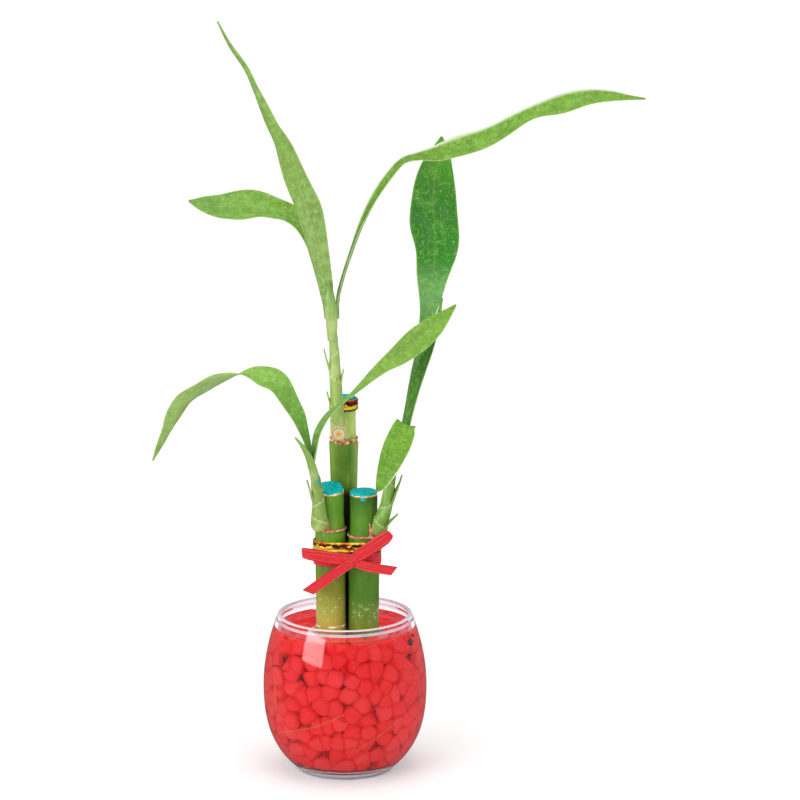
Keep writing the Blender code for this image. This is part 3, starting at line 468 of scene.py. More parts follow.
# The bow: rows of x, y, z, half width, turn and curl, as for a leaf. A slant cuts the free end at an angle.
BOW = {
    "loop_left": {
        "toward": (-0.05, 0, 1),
        "rows": (
            (3, -16.4, 100.2, 2.5, 90, 0), (-1, -17, 100.5, 2.6, 90, 0), (-5, -17.3, 101, 2.7, 90, 0),
            (-9, -17.3, 101.5, 2.7, 90, 0), (-13, -17.1, 102.1, 2.5, 90, 0),
            (-16.4, -16.8, 102.7, 2.2, 90, 0), (-17.8, -16.4, 102.9, 2.1, 90, 0),
            (-18.4, -15.7, 103, 2.1, 90, 0), (-17.8, -15, 102.9, 2.1, 90, 0),
            (-16.4, -14.75, 102.7, 2.1, 90, 0), (-12, -14.7, 102, 2.3, 90, 0),
            (-4, -14.8, 100.6, 2.4, 90, 0), (3, -14.9, 100, 2.2, 90, 0),
        ),
    },
    "loop_right": {
        "toward": (-0.6, 0, 0.8),
        "rows": (
            (4.6, -16.4, 100.6, 2.2, 90, 0), (7.5, -17.5, 102.9, 2.8, 90, 0),
            (10.2, -18, 104.7, 2.9, 90, 0), (12.8, -18.4, 106.5, 2.9, 90, 0),
            (15.4, -18.6, 108.4, 2.85, 90, 0), (18, -18.7, 110.4, 2.8, 90, 0),
            (19.6, -18.5, 111.6, 2.3, 90, 0), (20.5, -17.9, 112.4, 1.5, 90, 0),
            (19.6, -17.3, 111.6, 2.1, 90, 0), (18, -17.1, 110.4, 2.5, 90, 0),
            (12.6, -17, 106.3, 2.5, 90, 0), (8, -16.3, 103, 2.5, 90, 0), (4.6, -15.2, 100.2, 2.2, 90, 0),
        ),
    },
    "tail_left": {
        "slant": -0.6,
        "rows": (
            (3.4, -16.6, 99, 2.2, 180, 0), (0.2, -17.2, 97, 2.3, 180, 0), (-3.1, -17.6, 94.8, 2.3, 180, 0),
            (-8.8, -18, 90.8, 2.3, 180, 0), (-15.9, -18, 85.6, 2.3, 180, 0),
        ),
    },
    "tail_right": {
        "slant": -0.53,
        "rows": (
            (4.6, -16.2, 98.8, 2.1, 0, 0), (9.6, -17.2, 97.4, 2.1, 0, 0), (15, -17.6, 96.3, 2.1, 0, 0),
            (22.2, -17.8, 95.2, 2.1, 0, 0),
        ),
    },
}

# The thin orange roots that show at the glass: angle in degrees and z of each point.
ROOTS = (
    ((-160, 16.8), (-146, 21.6), (-124, 25.6), (-107, 29.4), (-90, 34.6)),
    ((-82, 16.5), (-68, 21.8), (-48, 28.8)),
    ((-150, 30), (-149, 38), (-151, 46)),
)
ROOT_RADIUS = 0.24
ROOT_TIP_RADIUS = 0.1
ROOT_GLASS_GAP = 0.3
ROOT_SIDES = 8
ROOT_STEPS = 8


# Colours and nodes.

def srgb(colour):
    """A colour given as three numbers from 0 to 255, as the renderer needs it."""
    linear = [c / 255 / 12.92 if c <= 10 else ((c / 255 + 0.055) / 1.055) ** 2.4 for c in colour]
    return (*linear, 1.0)


def new_material(name, roughness=0.5, **settings):
    """A material, its node tree and its shader. Settings are the names of shader sockets."""
    made = bpy.data.materials.new(name)
    made.use_nodes = True
    shader = made.node_tree.nodes["Principled BSDF"]
    shader.inputs["Roughness"].default_value = roughness
    for socket, value in settings.items():
        shader.inputs[socket.replace("_", " ")].default_value = value
    return made, made.node_tree, shader


def put(tree, kind, links=None, **settings):
    """Adds a node. Links go from its sockets' names or numbers to outputs or plain values."""
    node = tree.nodes.new(kind)
    for name, value in settings.items():
        setattr(node, name, value)
    for socket, source in (links or {}).items():
        if isinstance(source, bpy.types.NodeSocket):
            tree.links.new(source, node.inputs[socket])
        else:
            node.inputs[socket].default_value = source
    return node


def maths(tree, operation, first, second=0.0, third=0.0):
    return put(tree, "ShaderNodeMath", {0: first, 1: second, 2: third}, operation=operation).outputs[0]


def times(tree, first, second):
    return maths(tree, "MULTIPLY", first, second)


def ramp(tree, factor, stops):
    """A colour ramp. Each stop is a place from 0 to 1 and a colour from 0 to 255, or a grey from 0 to 1."""
    node = put(tree, "ShaderNodeValToRGB", {"Fac": factor})
    elements = node.color_ramp.elements
    while len(elements) < len(stops):
        elements.new(0.5)
    for element, (spot, colour) in zip(elements, stops):
        element.position = spot
        element.color = (colour, colour, colour, 1.0) if isinstance(colour, (int, float)) else srgb(colour)
    return node.outputs["Color"]


def rise(tree, field, zero_at, full_at, strength=1.0):
    """From 0 where the field has its first value to the strength where it has its second, higher or lower."""
    return ramp(tree, field, sorted(((zero_at, 0.0), (full_at, strength))))


def place(tree, kind="Object", stretch=(1.0, 1.0, 1.0)):
    """Coordinates in metres, or across and along a blade for UV, stretched by a scale."""
    source = put(tree, "ShaderNodeTexCoord").outputs[kind]
    return put(tree, "ShaderNodeMapping", {"Vector": source, "Scale": stretch}).outputs["Vector"]


def cloud(tree, scale, detail=3.0, roughness=0.55, kind="Object", stretch=(1.0, 1.0, 1.0)):
    """Noise over a piece. A larger scale makes it finer."""
    links = {"Vector": place(tree, kind, stretch), "Scale": scale, "Detail": detail, "Roughness": roughness}
    return put(tree, "ShaderNodeTexNoise", links).outputs["Fac"]


def blend(tree, factor, first, second, kind="MIX"):
    """Mixes two colours, given as outputs or as colours from 0 to 255."""
    node = put(tree, "ShaderNodeMix", data_type="RGBA", blend_type=kind)
    sockets = {"Factor": node.inputs[0], "A": node.inputs[6], "B": node.inputs[7]}
    for name, source in (("Factor", factor), ("A", first), ("B", second)):
        if isinstance(source, bpy.types.NodeSocket):
            tree.links.new(source, sockets[name])
        elif name == "Factor":
            sockets[name].default_value = source
        else:
            sockets[name].default_value = srgb(source)
    return node.outputs[2]


def stain(tree, colour, tint, field, zero_at, full_at, strength, kind="MIX"):
    """Lays a tint over a colour where a field rises, as rise says."""
    return blend(tree, rise(tree, field, zero_at, full_at, strength), colour, tint, kind)


def bump(tree, shader, height, strength, distance):
    links = {"Height": height, "Strength": strength, "Distance": distance * MM}
    tree.links.new(put(tree, "ShaderNodeBump", links).outputs["Normal"], shader.inputs["Normal"])


def finish_with(tree, shader, colour, field=None, low=0.5, high=0.5):
    """Links the colour, and a roughness that follows a field from low to high."""
    tree.links.new(colour, shader.inputs["Base Color"])
    if field is not None:
        tree.links.new(ramp(tree, field, ((0.3, low), (0.7, high))), shader.inputs["Roughness"])


def attribute(tree, name):
    return put(tree, "ShaderNodeAttribute", attribute_name=name).outputs["Fac"]


def split(tree, vector):
    """The three parts of a vector."""
    return put(tree, "ShaderNodeSeparateXYZ", {0: vector}).outputs


def share_along(tree, axis, low, high):
    """How far a point is along an axis, as a share of the way from low to high, in millimetres."""
    links = {"Value": split(tree, place(tree))[axis], "From Min": low * MM, "From Max": high * MM}
    return put(tree, "ShaderNodeMapRange", links).outputs["Result"]


def by_height(tree, stops):
    """Colours at heights in millimetres, the first and the last of which end the ramp."""
    low, high = stops[0][0], stops[-1][0]
    return ramp(tree, share_along(tree, "Z", low, high), [((z - low) / (high - low), c) for z, c in stops])


def distance_from(tree, spot, centre):
    return put(tree, "ShaderNodeVectorMath", {0: spot, 1: centre}, operation="DISTANCE").outputs["Value"]


def off_middle(tree):
    """How far a point is from the rib of a blade: 0 there and 0.5 at the edges."""
    across = split(tree, place(tree, "UV"))["X"]
    return maths(tree, "ABSOLUTE", maths(tree, "SUBTRACT", across, 0.5))


def smudge(tree, centre, reach, flatness):
    """A ragged spot about a point: 1 in its middle, 0 outside its reach, which is shorter upward if flat."""
    middle = (centre[0] * MM, centre[1] * MM, centre[2] * MM * flatness)
    away = distance_from(tree, place(tree, stretch=(1.0, 1.0, flatness)), middle)
    links = {"Value": away, "From Min": 0.0, "From Max": reach * MM, "To Min": 1.0, "To Max": 0.0}
    near = put(tree, "ShaderNodeMapRange", links).outputs["Result"]
    ragged = maths(tree, "MULTIPLY_ADD", near, 0.5, cloud(tree, 700.0, 2.0))
    return times(tree, rise(tree, ragged, 0.7, 0.73), rise(tree, near, 0.0, 0.1))


# Materials.

def clear_material(name, ior, thin, thick, mirror, clearness=1.0):
    """Glass or water, a little uneven in colour. The mirror is how much of the plain reflection it keeps."""
    made, tree, shader = new_material(name, 0.0, Transmission_Weight=clearness, IOR=ior,
                                      Specular_Tint=(mirror, mirror, mirror, 1.0))
    finish_with(tree, shader, ramp(tree, cloud(tree, 60.0), ((0.3, thin), (0.7, thick))))
    return made


def pebble_material():
    """Dyed gravel: each stone has its own shade, with a mottled, slightly frosted surface."""
    made, tree, shader = new_material("red_pebble", 0.5, Specular_IOR_Level=0.12)
    base = ramp(tree, attribute(tree, "shade"), ((0.0, (70, 26, 20)), (0.08, (250, 30, 34)),
                                                 (0.5, (253, 42, 44)), (1.0, (255, 58, 62))))
    mottle = cloud(tree, 420.0, 4.0)
    bump(tree, shader, cloud(tree, 2600.0, 2.0), 0.25, 0.15)
    finish_with(tree, shader, stain(tree, base, (255, 72, 76), mottle, 0.42, 0.72, 0.4), mottle, 0.4, 0.62)
    return made


def cane_material(side, low, high):
    """Waxy green bark, with broad soft blotches, faint fibres and dried water marks in a band of heights."""
    made, tree, shader = new_material("bark_" + side, 0.36, Specular_IOR_Level=0.3)

    def share(z):
        return (z - low) / (high - low)

    height = share_along(tree, "Z", low, high)
    base = ramp(tree, height, [(share(z), colour) for z, colour in BARK[side]["colours"]])
    fibres = cloud(tree, 1500.0, 3.0, stretch=(1.0, 1.0, 0.035))
    blotches = cloud(tree, 150.0, 2.0, stretch=(1.0, 1.0, 0.4))
    colour = stain(tree, base, (40, 76, 16), fibres, 0.62, 0.36, 0.1, "MULTIPLY")
    colour = stain(tree, colour, (52, 104, 18), blotches, 0.5, 0.7, 0.5)
    colour = stain(tree, colour, (150, 178, 66), blotches, 0.44, 0.28, 0.35)
    lowest, highest = (share(z) for z in BARK[side]["marks"])
    band = ramp(tree, height, ((lowest, 0.0), ((lowest + highest) / 2, 1.0), (highest, 0.0)))
    marks = times(tree, rise(tree, cloud(tree, 620.0, 5.0, 0.7), 0.56, 0.64, 0.75), band)
    marks = maths(tree, "MAXIMUM", marks, rise(tree, cloud(tree, 2300.0, 2.0), 0.7, 0.76, 0.5))
    colour = blend(tree, marks, colour, (206, 216, 176))
    colour = BARK_EXTRAS[side](tree, colour)
    bump(tree, shader, fibres, 0.15, 0.1)
    finish_with(tree, shader, colour, blotches, 0.3, 0.42)
    return made


def left_bark(tree, colour):
    """A painted glint: the pale broken arc where water climbs the left cane."""
    edge = ramp(tree, share_along(tree, "Z", *WATER_EDGE_GLINT), ((0.0, 0.0), (0.2, 0.9), (0.6, 0.9), (1.0, 0.0)))
    broken = rise(tree, cloud(tree, 210.0, 1.0), 0.46, 0.52)
    return blend(tree, times(tree, edge, broken), colour, (252, 250, 236))


def right_bark(tree, colour):
    """A smear of wax, and painted shade on the darker side of the right cane."""
    colour = blend(tree, smudge(tree, DRIP, 2.6, 1.5), colour, (0, 156, 160))
    # Painted shade: darker towards the upper right of the cane.
    shade = times(tree, share_along(tree, "X", *RIGHT_PAINTED_SHADE_X), share_along(tree, "Z", *RIGHT_PAINTED_SHADE_Z))
    return blend(tree, times(tree, shade, 0.6), colour, (34, 66, 20))


def back_bark(tree, colour):
    """Painted light on the paler side of the back cane, and painted shade in the dark gap between the other
    two in front of it.
    """
    colour = blend(tree, times(tree, share_along(tree, "X", *BACK_PAINTED_LIGHT_X), 0.6), colour, (170, 192, 100))
    shade = times(tree, share_along(tree, "Y", *BACK_PAINTED_SHADE_Y), share_along(tree, "Z", *BACK_PAINTED_SHADE_Z))
    return blend(tree, shade, colour, (30, 32, 14))


BARK_EXTRAS = {"left": left_bark, "right": right_bark, "back": back_bark}


def dry_material(name, colours, scale, strength):
    """A dry torn surface, such as a leaf scar or a bare cut."""
    made, tree, shader = new_material(name, 0.8)
    patches = cloud(tree, scale, 5.0, 0.65)
    stops = [(0.34 + 0.32 * k / (len(colours) - 1), colour) for k, colour in enumerate(colours)]
    bump(tree, shader, patches, strength, 0.3)
    finish_with(tree, shader, ramp(tree, patches, stops))
    return made


def wax_material():
    made, tree, shader = new_material("wax", 0.5, Specular_IOR_Level=0.05)
    patches = cloud(tree, 700.0, 4.0)
    bump(tree, shader, cloud(tree, 1100.0, 4.0, 0.6), 0.6, 0.3)
    colour = ramp(tree, patches, ((0.34, (0, 134, 128)), (0.46, (0, 168, 168)), (0.62, (0, 178, 178))))
    colour = stain(tree, colour, (196, 232, 230), cloud(tree, 1900.0, 2.0), 0.68, 0.74, 0.8)
    finish_with(tree, shader, colour, patches, 0.4, 0.62)
    return made


def leaf_material(name, colours, places, pale_edge):
    """A satin leaf face: colours from base to tip, faint parallel veins, a paler rib, a painted highlight
    along the edges and dusty flecks.
    """
    made, tree, shader = new_material(name, 0.45, Specular_IOR_Level=0.25)
    across, along, _ = split(tree, place(tree, "UV"))
    base = ramp(tree, along, list(zip(places, colours)))
    veins = cloud(tree, 1.0, 3.0, kind="UV", stretch=(40.0, 1.0, 1.0))
    clouds = cloud(tree, 150.0, 3.0)
    mottle = cloud(tree, 480.0, 4.0, 0.7)
    dark = tuple(0.72 * c for c in colours[1])
    pale = tuple(c + 0.4 * (light - c) for c, light in zip(colours[-1], (222, 236, 160)))
    colour = stain(tree, base, dark, veins, 0.5, 0.34, 0.4)
    colour = stain(tree, colour, dark, clouds, 0.5, 0.74, 0.5)
    colour = stain(tree, colour, pale, clouds, 0.46, 0.26, 0.34)
    colour = stain(tree, colour, dark, mottle, 0.5, 0.64, 0.42)
    colour = stain(tree, colour, pale, mottle, 0.46, 0.38, 0.36)
    aside = off_middle(tree)
    # A paler rib, and a painted highlight along the edges.
    rib_and_edge = ramp(tree, aside, ((0.0, 0.18), (0.04, 0.0), (0.465, 0.0), (0.5, 0.6)))
    colour = blend(tree, rib_and_edge, colour, pale)
    # Some leaves get a whiter painted highlight along both edges, some along the back edge only.
    if pale_edge == "both":
        colour = stain(tree, colour, (226, 238, 218), aside, 0.45, 0.48, 0.9)
    elif pale_edge == "back":
        colour = stain(tree, colour, (196, 210, 178), across, 0.16, 0.05, 0.85)
    colour = stain(tree, colour, (208, 226, 172), cloud(tree, 1500.0, 4.0, 0.7), 0.6, 0.68, 0.55)
    bump(tree, shader, veins, 0.35, 0.25)
    finish_with(tree, shader, colour, clouds, 0.38, 0.52)
    return made


def shoot_material(side):
    """Pale nested sheaths with fine lengthwise streaks, pale rims and painted shadow on the stem just above
    each rim. The foot is whitish, with a rusty mark.
    """
    made, tree, shader = new_material("sheath_" + side, 0.45, Specular_IOR_Level=0.25)
    streaks = cloud(tree, 1.0, 3.0, kind="UV", stretch=(26.0, 3.0, 1.0))
    clouds = cloud(tree, 240.0, 3.0, stretch=(1.0, 1.0, 0.5))
    colour = by_height(tree, SHEATH_COLOURS[side])
    colour = stain(tree, colour, (84, 134, 40), streaks, 0.58, 0.36, 0.42)
    colour = stain(tree, colour, (204, 218, 168), clouds, 0.52, 0.74, 0.4)
    rim = attribute(tree, "rim")
    # Painted shadow on the stem just above a sheath's rim. The rim itself is pale.
    colour = stain(tree, colour, (72, 116, 40), rim, 0.5, 0.0, 0.6)
    colour = stain(tree, colour, (226, 232, 196), rim, 0.5, 0.9, 0.6)
    if side == "back":
        away = distance_from(tree, place(tree), tuple(c * MM for c in BACK_EYE))
        reach = maths(tree, "DIVIDE", away, BACK_EYE_REACH * MM)
        uneven = maths(tree, "MULTIPLY_ADD", cloud(tree, 420.0), 0.5, reach)
        ring = ramp(tree, uneven, ((0.38, (216, 104, 40)), (0.5, (228, 168, 104)), (0.66, (206, 206, 150)),
                                   (0.8, (222, 214, 186)), (0.86, (170, 92, 60))))
        colour = stain(tree, colour, ring, uneven, 0.9, 0.87, 1.0)
    if side == "left":
        colour = blend(tree, smudge(tree, SMEAR, 1.9, 0.5), colour, (0, 146, 150))
    bump(tree, shader, streaks, 0.3, 0.2)
    finish_with(tree, shader, colour, clouds, 0.38, 0.52)
    return made


def foil_material(name, low, high):
    """Crinkled foil: a bright gold strip between dark ones, painted reflections over its gold, with gold and
    red where its print has worn.
    """
    made, tree, shader = new_material(name, 0.22, Metallic=0.6)
    crinkle = cloud(tree, 900.0, 4.0, 0.6, stretch=(1.0, 1.0, 1.8))
    tone = cloud(tree, 420.0, 2.0, stretch=(0.5, 0.5, 1.6))
    height = maths(tree, "SUBTRACT", share_along(tree, "Z", low, high), 0.25)
    uneven = maths(tree, "MULTIPLY_ADD", tone, 0.5, height)
    # The dark and bright strips of this ramp are painted reflections.
    colour = ramp(tree, uneven, ((0.1, (52, 26, 10)), (0.2, (255, 206, 50)), (0.46, (255, 226, 90)),
                                 (0.54, (70, 34, 12)), (0.8, (46, 24, 12)), (0.92, (214, 150, 40))))
    patches = cloud(tree, 360.0, 2.0, stretch=(0.7, 0.7, 1.0))
    colour = stain(tree, colour, (255, 214, 60), patches, 0.54, 0.57, 1.0)
    colour = stain(tree, colour, (206, 26, 30), patches, 0.41, 0.38, 1.0)
    bump(tree, shader, crinkle, 0.7, 0.35)
    finish_with(tree, shader, colour, crinkle, 0.14, 0.34)
    return made


def ribbon_material():
    """Woven satin: fine threads along the ribbon, with painted highlights where they catch the light, and a
    soft sheen.
    """
    made, tree, shader = new_material("red_ribbon", 0.42, Specular_IOR_Level=0.35, Sheen_Weight=0.12,
                                      Sheen_Roughness=0.4, Anisotropic=0.4)
    grain = cloud(tree, 1.0, 4.0, 0.7, "UV", (9.0, 0.5, 1.0))
    threads = put(tree, "ShaderNodeTexWave", {"Vector": place(tree, "UV", (0.0, 3.2, 0.0)), "Scale": 1.0},
                  bands_direction="Y").outputs["Fac"]
    # The palest threads are painted highlights.
    colour = ramp(tree, grain, ((0.34, (140, 6, 12)), (0.44, (188, 16, 26)), (0.54, (206, 26, 36)),
                                (0.66, (238, 104, 114))))
    colour = stain(tree, colour, (150, 8, 16), off_middle(tree), 0.42, 0.48, 0.6)
    # Soft pink patches: a painted sheen.
    colour = stain(tree, colour, (228, 92, 104), cloud(tree, 800.0, 4.0), 0.56, 0.7, 0.22)
    bump(tree, shader, maths(tree, "ADD", grain, times(tree, threads, 0.3)), 0.5, 0.2)
    finish_with(tree, shader, colour, grain, 0.5, 0.36)
    return made


def root_material():
    made, tree, shader = new_material("root", 0.5)
    finish_with(tree, shader, ramp(tree, cloud(tree, 600.0), ((0.35, (226, 92, 36)), (0.65, (244, 140, 58)))))
    return made


def floor_material():
    made, tree, shader = new_material("pale_floor", 0.9)
    finish_with(tree, shader, ramp(tree, cloud(tree, 3.0), ((0.3, (250, 250, 250)), (0.7, (253, 253, 253)))))
    return made


# Shapes. Each part of a piece is its points, their places across and along, its faces and their finishes.

def unit(vector):
    return vector / np.linalg.norm(vector)


def polar(radius, angle, z):
    """A point on a circle about the origin, from an angle in radians."""
    return radius * math.cos(angle), radius * math.sin(angle), z


def curve_through(rows, steps):
    """Points on the Catmull-Rom curve through the rows, steps of them between each two rows."""
    rows = np.asarray(rows, float)
    ends = np.vstack([2 * rows[0] - rows[1], rows, 2 * rows[-1] - rows[-2]])
    points = []
    for index in range(1, len(ends) - 2):
        before, start, end, after = ends[index - 1 : index + 3]
        for step in range(steps):
            t = step / steps
            points.append(
                0.5 * (2 * start + (end - before) * t + (2 * before - 5 * start + 4 * end - after) * t**2
                       + (3 * start - before - 3 * end + after) * t**3)
            )
    points.append(rows[-1])
    return np.array(points)


def wobble(x, y, z):
    """Smooth noise from about -1 to 1."""
    return noise.noise(Vector((x, y, z)))


def make_piece(name, parts, materials, node, sharp=SHARP):
    """A piece of the model, its faces turned outward and smooth. It rides on the body for its node."""
    points, spots, faces, finishes = [], [], [], []
    for part_points, part_spots, part_faces, part_finishes in parts:
        first = len(points)
        points += [tuple(float(c) * MM for c in point) for point in part_points]
        spots += list(part_spots)
        faces += [tuple(first + corner for corner in face) for face in part_faces]
        finishes += part_finishes if isinstance(part_finishes, list) else [part_finishes] * len(part_faces)
    mesh = bpy.data.meshes.new(name)
    mesh.from_pydata(points, [], faces)
    corners = np.empty(len(mesh.loops), int)
    mesh.loops.foreach_get("vertex_index", corners)
    mesh.uv_layers.new(name="UVMap").data.foreach_set("uv", np.asarray(spots, float)[corners].ravel())
    mesh.polygons.foreach_set("material_index", finishes)
    turned = bmesh.new()
    turned.from_mesh(mesh)
    bmesh.ops.recalc_face_normals(turned, faces=turned.faces)
    turned.to_mesh(mesh)
    turned.free()
    mesh.shade_smooth()
    mesh.set_sharp_from_angle(angle=math.radians(sharp))
    obj = bpy.data.objects.new(name, mesh)
    bpy.context.scene.collection.objects.link(obj)
    for finish in materials:
        mesh.materials.append(finish)
    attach(obj, "root")
    if node:
        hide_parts(node)
    return obj


def mark(obj, name, values):
    """Gives each point of a piece a value that its material reads."""
    obj.data.attributes.new(name, "FLOAT", "POINT").data.foreach_set("value", values)


def blade(rows, steps=9, halves=7, toward=DEPTH, wave=0.0, waves=1.0, thickness=BLADE_THICKNESS, slant=0.0,
          thin=0.55, tip=0.12):
    """A thin blade along the rows' curve, with a finish for its upper face and one for the rest."""
    line = curve_through(rows, steps)
    centres = line[:, :3]
    tangents = np.gradient(centres, axis=0)
    count = len(line)
    across = 2 * halves + 1
    upper = np.zeros((count, across, 3))
    lower = np.zeros((count, across, 3))
    spots = []
    for i in range(count):
        tangent = unit(tangents[i])
        first = unit(np.cross(toward, tangent))
        second = np.cross(tangent, first)
        half, turn = max(line[i, 3], tip), math.radians(line[i, 4])
        curl = max(math.radians(line[i, 5]), LEAST_CURL)
        side = math.cos(turn) * first + math.sin(turn) * second
        face = np.cross(side, tangent)
        progress = i / (count - 1)
        swell = math.sin(math.pi * min(progress * 1.05, 1.0)) ** 2
        for j in range(across):
            s = (j - halves) / halves
            edge = 0 if s < 0 else 1
            uneven = math.sin(2 * math.pi * EDGE_BUMPS * waves * progress + EDGE_PHASES[edge])
            lateral = half / curl * math.sin(curl * s) * (1 + EDGE_UNEVEN * wave * swell * abs(s) * uneven)
            sag = half / curl * (1 - math.cos(curl * s))
            ripple = wave * swell * s * s * math.sin(2 * math.pi * waves * progress + RIPPLE_PHASES[edge])
            point = centres[i] + side * lateral + face * (sag + ripple)
            if i == count - 1:
                point = point + tangent * slant * lateral
            normal = face * math.cos(curl * s) - side * math.sin(curl * s)
            thick = thickness * (1 - thin * s**4)
            upper[i, j] = point + normal * thick / 2
            lower[i, j] = point - normal * thick / 2
            spots.append((j / (across - 1), progress))
    points = np.concatenate([upper.reshape(-1, 3), lower.reshape(-1, 3)])
    under = count * across
    faces, sides = [], []
    for i in range(count - 1):
        for j in range(across - 1):
            a = i * across + j
            b, c, d = a + 1, a + across + 1, a + across
            faces += [(a, b, c, d), (a + under, d + under, c + under, b + under)]
            sides += [0, 1]
        for a in (i * across, i * across + across - 1):
            d = a + across
            faces.append((a, d, d + under, a + under))
            sides.append(1)
    for i in (0, count - 1):
        for a in range(i * across, i * across + across - 1):
            faces.append((a, a + 1, a + 1 + under, a + under))
            sides.append(1)
    return points, spots + spots, faces, sides


def one_finish(part):
    points, spots, faces, _ = part
    return points, spots, faces, 0


def tube(rows, sides, steps=1, shape=None):
    """A round stem through rows of x, y, z and radius, with flat ends. The shape can change each radius."""
    line = curve_through(rows, steps)
    tangents = np.gradient(line[:, :3], axis=0)
    points, spots = [], []
    for i, ((x, y, z, radius), tangent) in enumerate(zip(line, tangents)):
        first = unit(np.cross(DEPTH, tangent))
        second = np.cross(unit(tangent), first)
        for k in range(sides):
            angle = 2 * math.pi * k / sides
            r = max(radius, LEAST_RADIUS) if shape is None else shape(angle, z, radius)
            points.append(np.array((x, y, z)) + r * (math.cos(angle) * first + math.sin(angle) * second))
            spots.append((abs(2 * k / sides - 1), i / (len(line) - 1)))
    faces = [
        (i * sides + k, i * sides + (k + 1) % sides, (i + 1) * sides + (k + 1) % sides, (i + 1) * sides + k)
        for i in range(len(line) - 1)
        for k in range(sides)
    ]
    faces.append(tuple(range(sides)))
    faces.append(tuple((len(line) - 1) * sides + k for k in range(sides)))
    return points, spots, faces, 0


def lathe(profile, sides, centre=(0.0, 0.0), shape=None, finishes=None):
    """A solid turned from rows of radius and z about a vertical axis. The shape can move each point."""
    points, spots, rings = [], [], []
    for index, (radius, z) in enumerate(profile):
        count = sides if radius > 0 else 1
        rings.append(list(range(len(points), len(points) + count)))
        for k in range(count):
            angle = 2 * math.pi * k / sides
            r, height = (radius, z) if shape is None else shape(index, angle, radius, z)
            points.append((centre[0] + r * math.cos(angle), centre[1] + r * math.sin(angle), height))
            spots.append((k / sides, index / (len(profile) - 1)))
    faces, marks = [], []
    closed = profile[0][0] > 0 and profile[-1][0] > 0
    pairs = list(zip(rings, rings[1:])) + ([(rings[-1], rings[0])] if closed else [])
    for row, (below, above) in enumerate(pairs):
        for k in range(sides):
            following = (k + 1) % sides
            if len(below) == 1:
                faces.append((below[0], above[k], above[following]))
            elif len(above) == 1:
                faces.append((below[k], below[following], above[0]))
            else:
                faces.append((below[k], below[following], above[following], above[k]))
            marks.append(0 if finishes is None else finishes(row))
    return points, spots, faces, marks


def about_cane(side, profile, sides, shape, finishes=None):
    cane = CANES[side]
    return lathe(profile, sides, (cane["x"], cane["y"]), shape, finishes)


# Bowl and water.

def bowl_radius(z):
    above = z > BOWL_WIDEST_Z
    reach = BOWL_UPPER_REACH if above else BOWL_LOWER_REACH
    power = BOWL_UPPER_POWER if above else BOWL_LOWER_POWER
    return BOWL_RADIUS * math.sqrt(max(0.0, 1 - (abs(z - BOWL_WIDEST_Z) / reach) ** power))


def inner_radius(z):
    return bowl_radius(z) - BOWL_WALL


def base_corner():
    """Rows of radius and z down the rounded inner corner of the base, below the wall."""
    floor = inner_radius(BOWL_BASE + BASE_FILLET)
    rows = []
    for step in range(1, FILLET_STEPS + 1):
        angle = math.pi / 2 * step / FILLET_STEPS
        rows.append((floor - BASE_FILLET * (1 - math.cos(angle)),
                     BOWL_BASE + BASE_FILLET * (1 - math.sin(angle))))
    return rows


def make_bowl():
    """The outside from the foot up, the rounded lip, and the inside down to the base."""
    lip_z = BOWL_HEIGHT - LIP_ROUNDING
    profile = [(0.0, FOOT_HOLLOW)] + [(bowl_radius(0) - inward, z) for inward, z in FOOT]
    profile += [(bowl_radius(z), z) for z in np.linspace(FOOT_HOLLOW, lip_z - LIP_SEAM, OUTSIDE_ROWS)]
    for centre, start in ((bowl_radius(lip_z) - LIP_ROUNDING, 0), (inner_radius(lip_z) + LIP_ROUNDING, 90)):
        for step in range(LIP_STEPS):
            angle = math.radians(start + 90 / (LIP_STEPS - 1) * step)
            profile.append((centre + LIP_ROUNDING * math.cos(angle), lip_z + LIP_ROUNDING * math.sin(angle)))
    inside = len(profile)
    levels = [lip_z - LIP_SEAM, WATER_LINE[1], WATER_LINE[0]]
    levels += list(np.linspace(WATER_LINE[0] - INSIDE_FROM_LINE, BOWL_BASE + BASE_FILLET, INSIDE_ROWS))
    profile += [(inner_radius(z), z) for z in levels] + base_corner() + [(0.0, BOWL_BASE)]

    def finishes(row):
        z = profile[row][1]
        if z > lip_z - LIP_SEAM / 2:
            return LIP
        if row > inside and WATER_LINE[0] < z - TINY < WATER_LINE[1]:
            return LINE
        if z > DRY_GLASS_Z:
            return RIM
        if row > inside:
            return WET
        return BAND if BASE_LINE[0] < z < BASE_LINE[1] else CLEAR

    glass = [clear_material(*row) for row in BOWL_GLASS]
    tree = glass[RIM].node_tree
    tint = tree.nodes["Principled BSDF"].inputs["Base Color"]
    # Painted light: the dry glass is paler towards the front.
    to_back = share_along(tree, "Y", *RIM_FRONT_TO_BACK)
    tree.links.new(blend(tree, to_back, RIM_FRONT_PAINTED_LIGHT, tint.links[0].from_socket), tint)
    make_piece("bowl", [lathe(profile, BOWL_SIDES, finishes=finishes)], glass, "glass_bowl")


def cane_distance(x, y):
    """How far a point is outside the nearest cane."""
    return min(math.hypot(x - cane["x"], y - cane["y"]) - cane["low"] for cane in CANES.values())


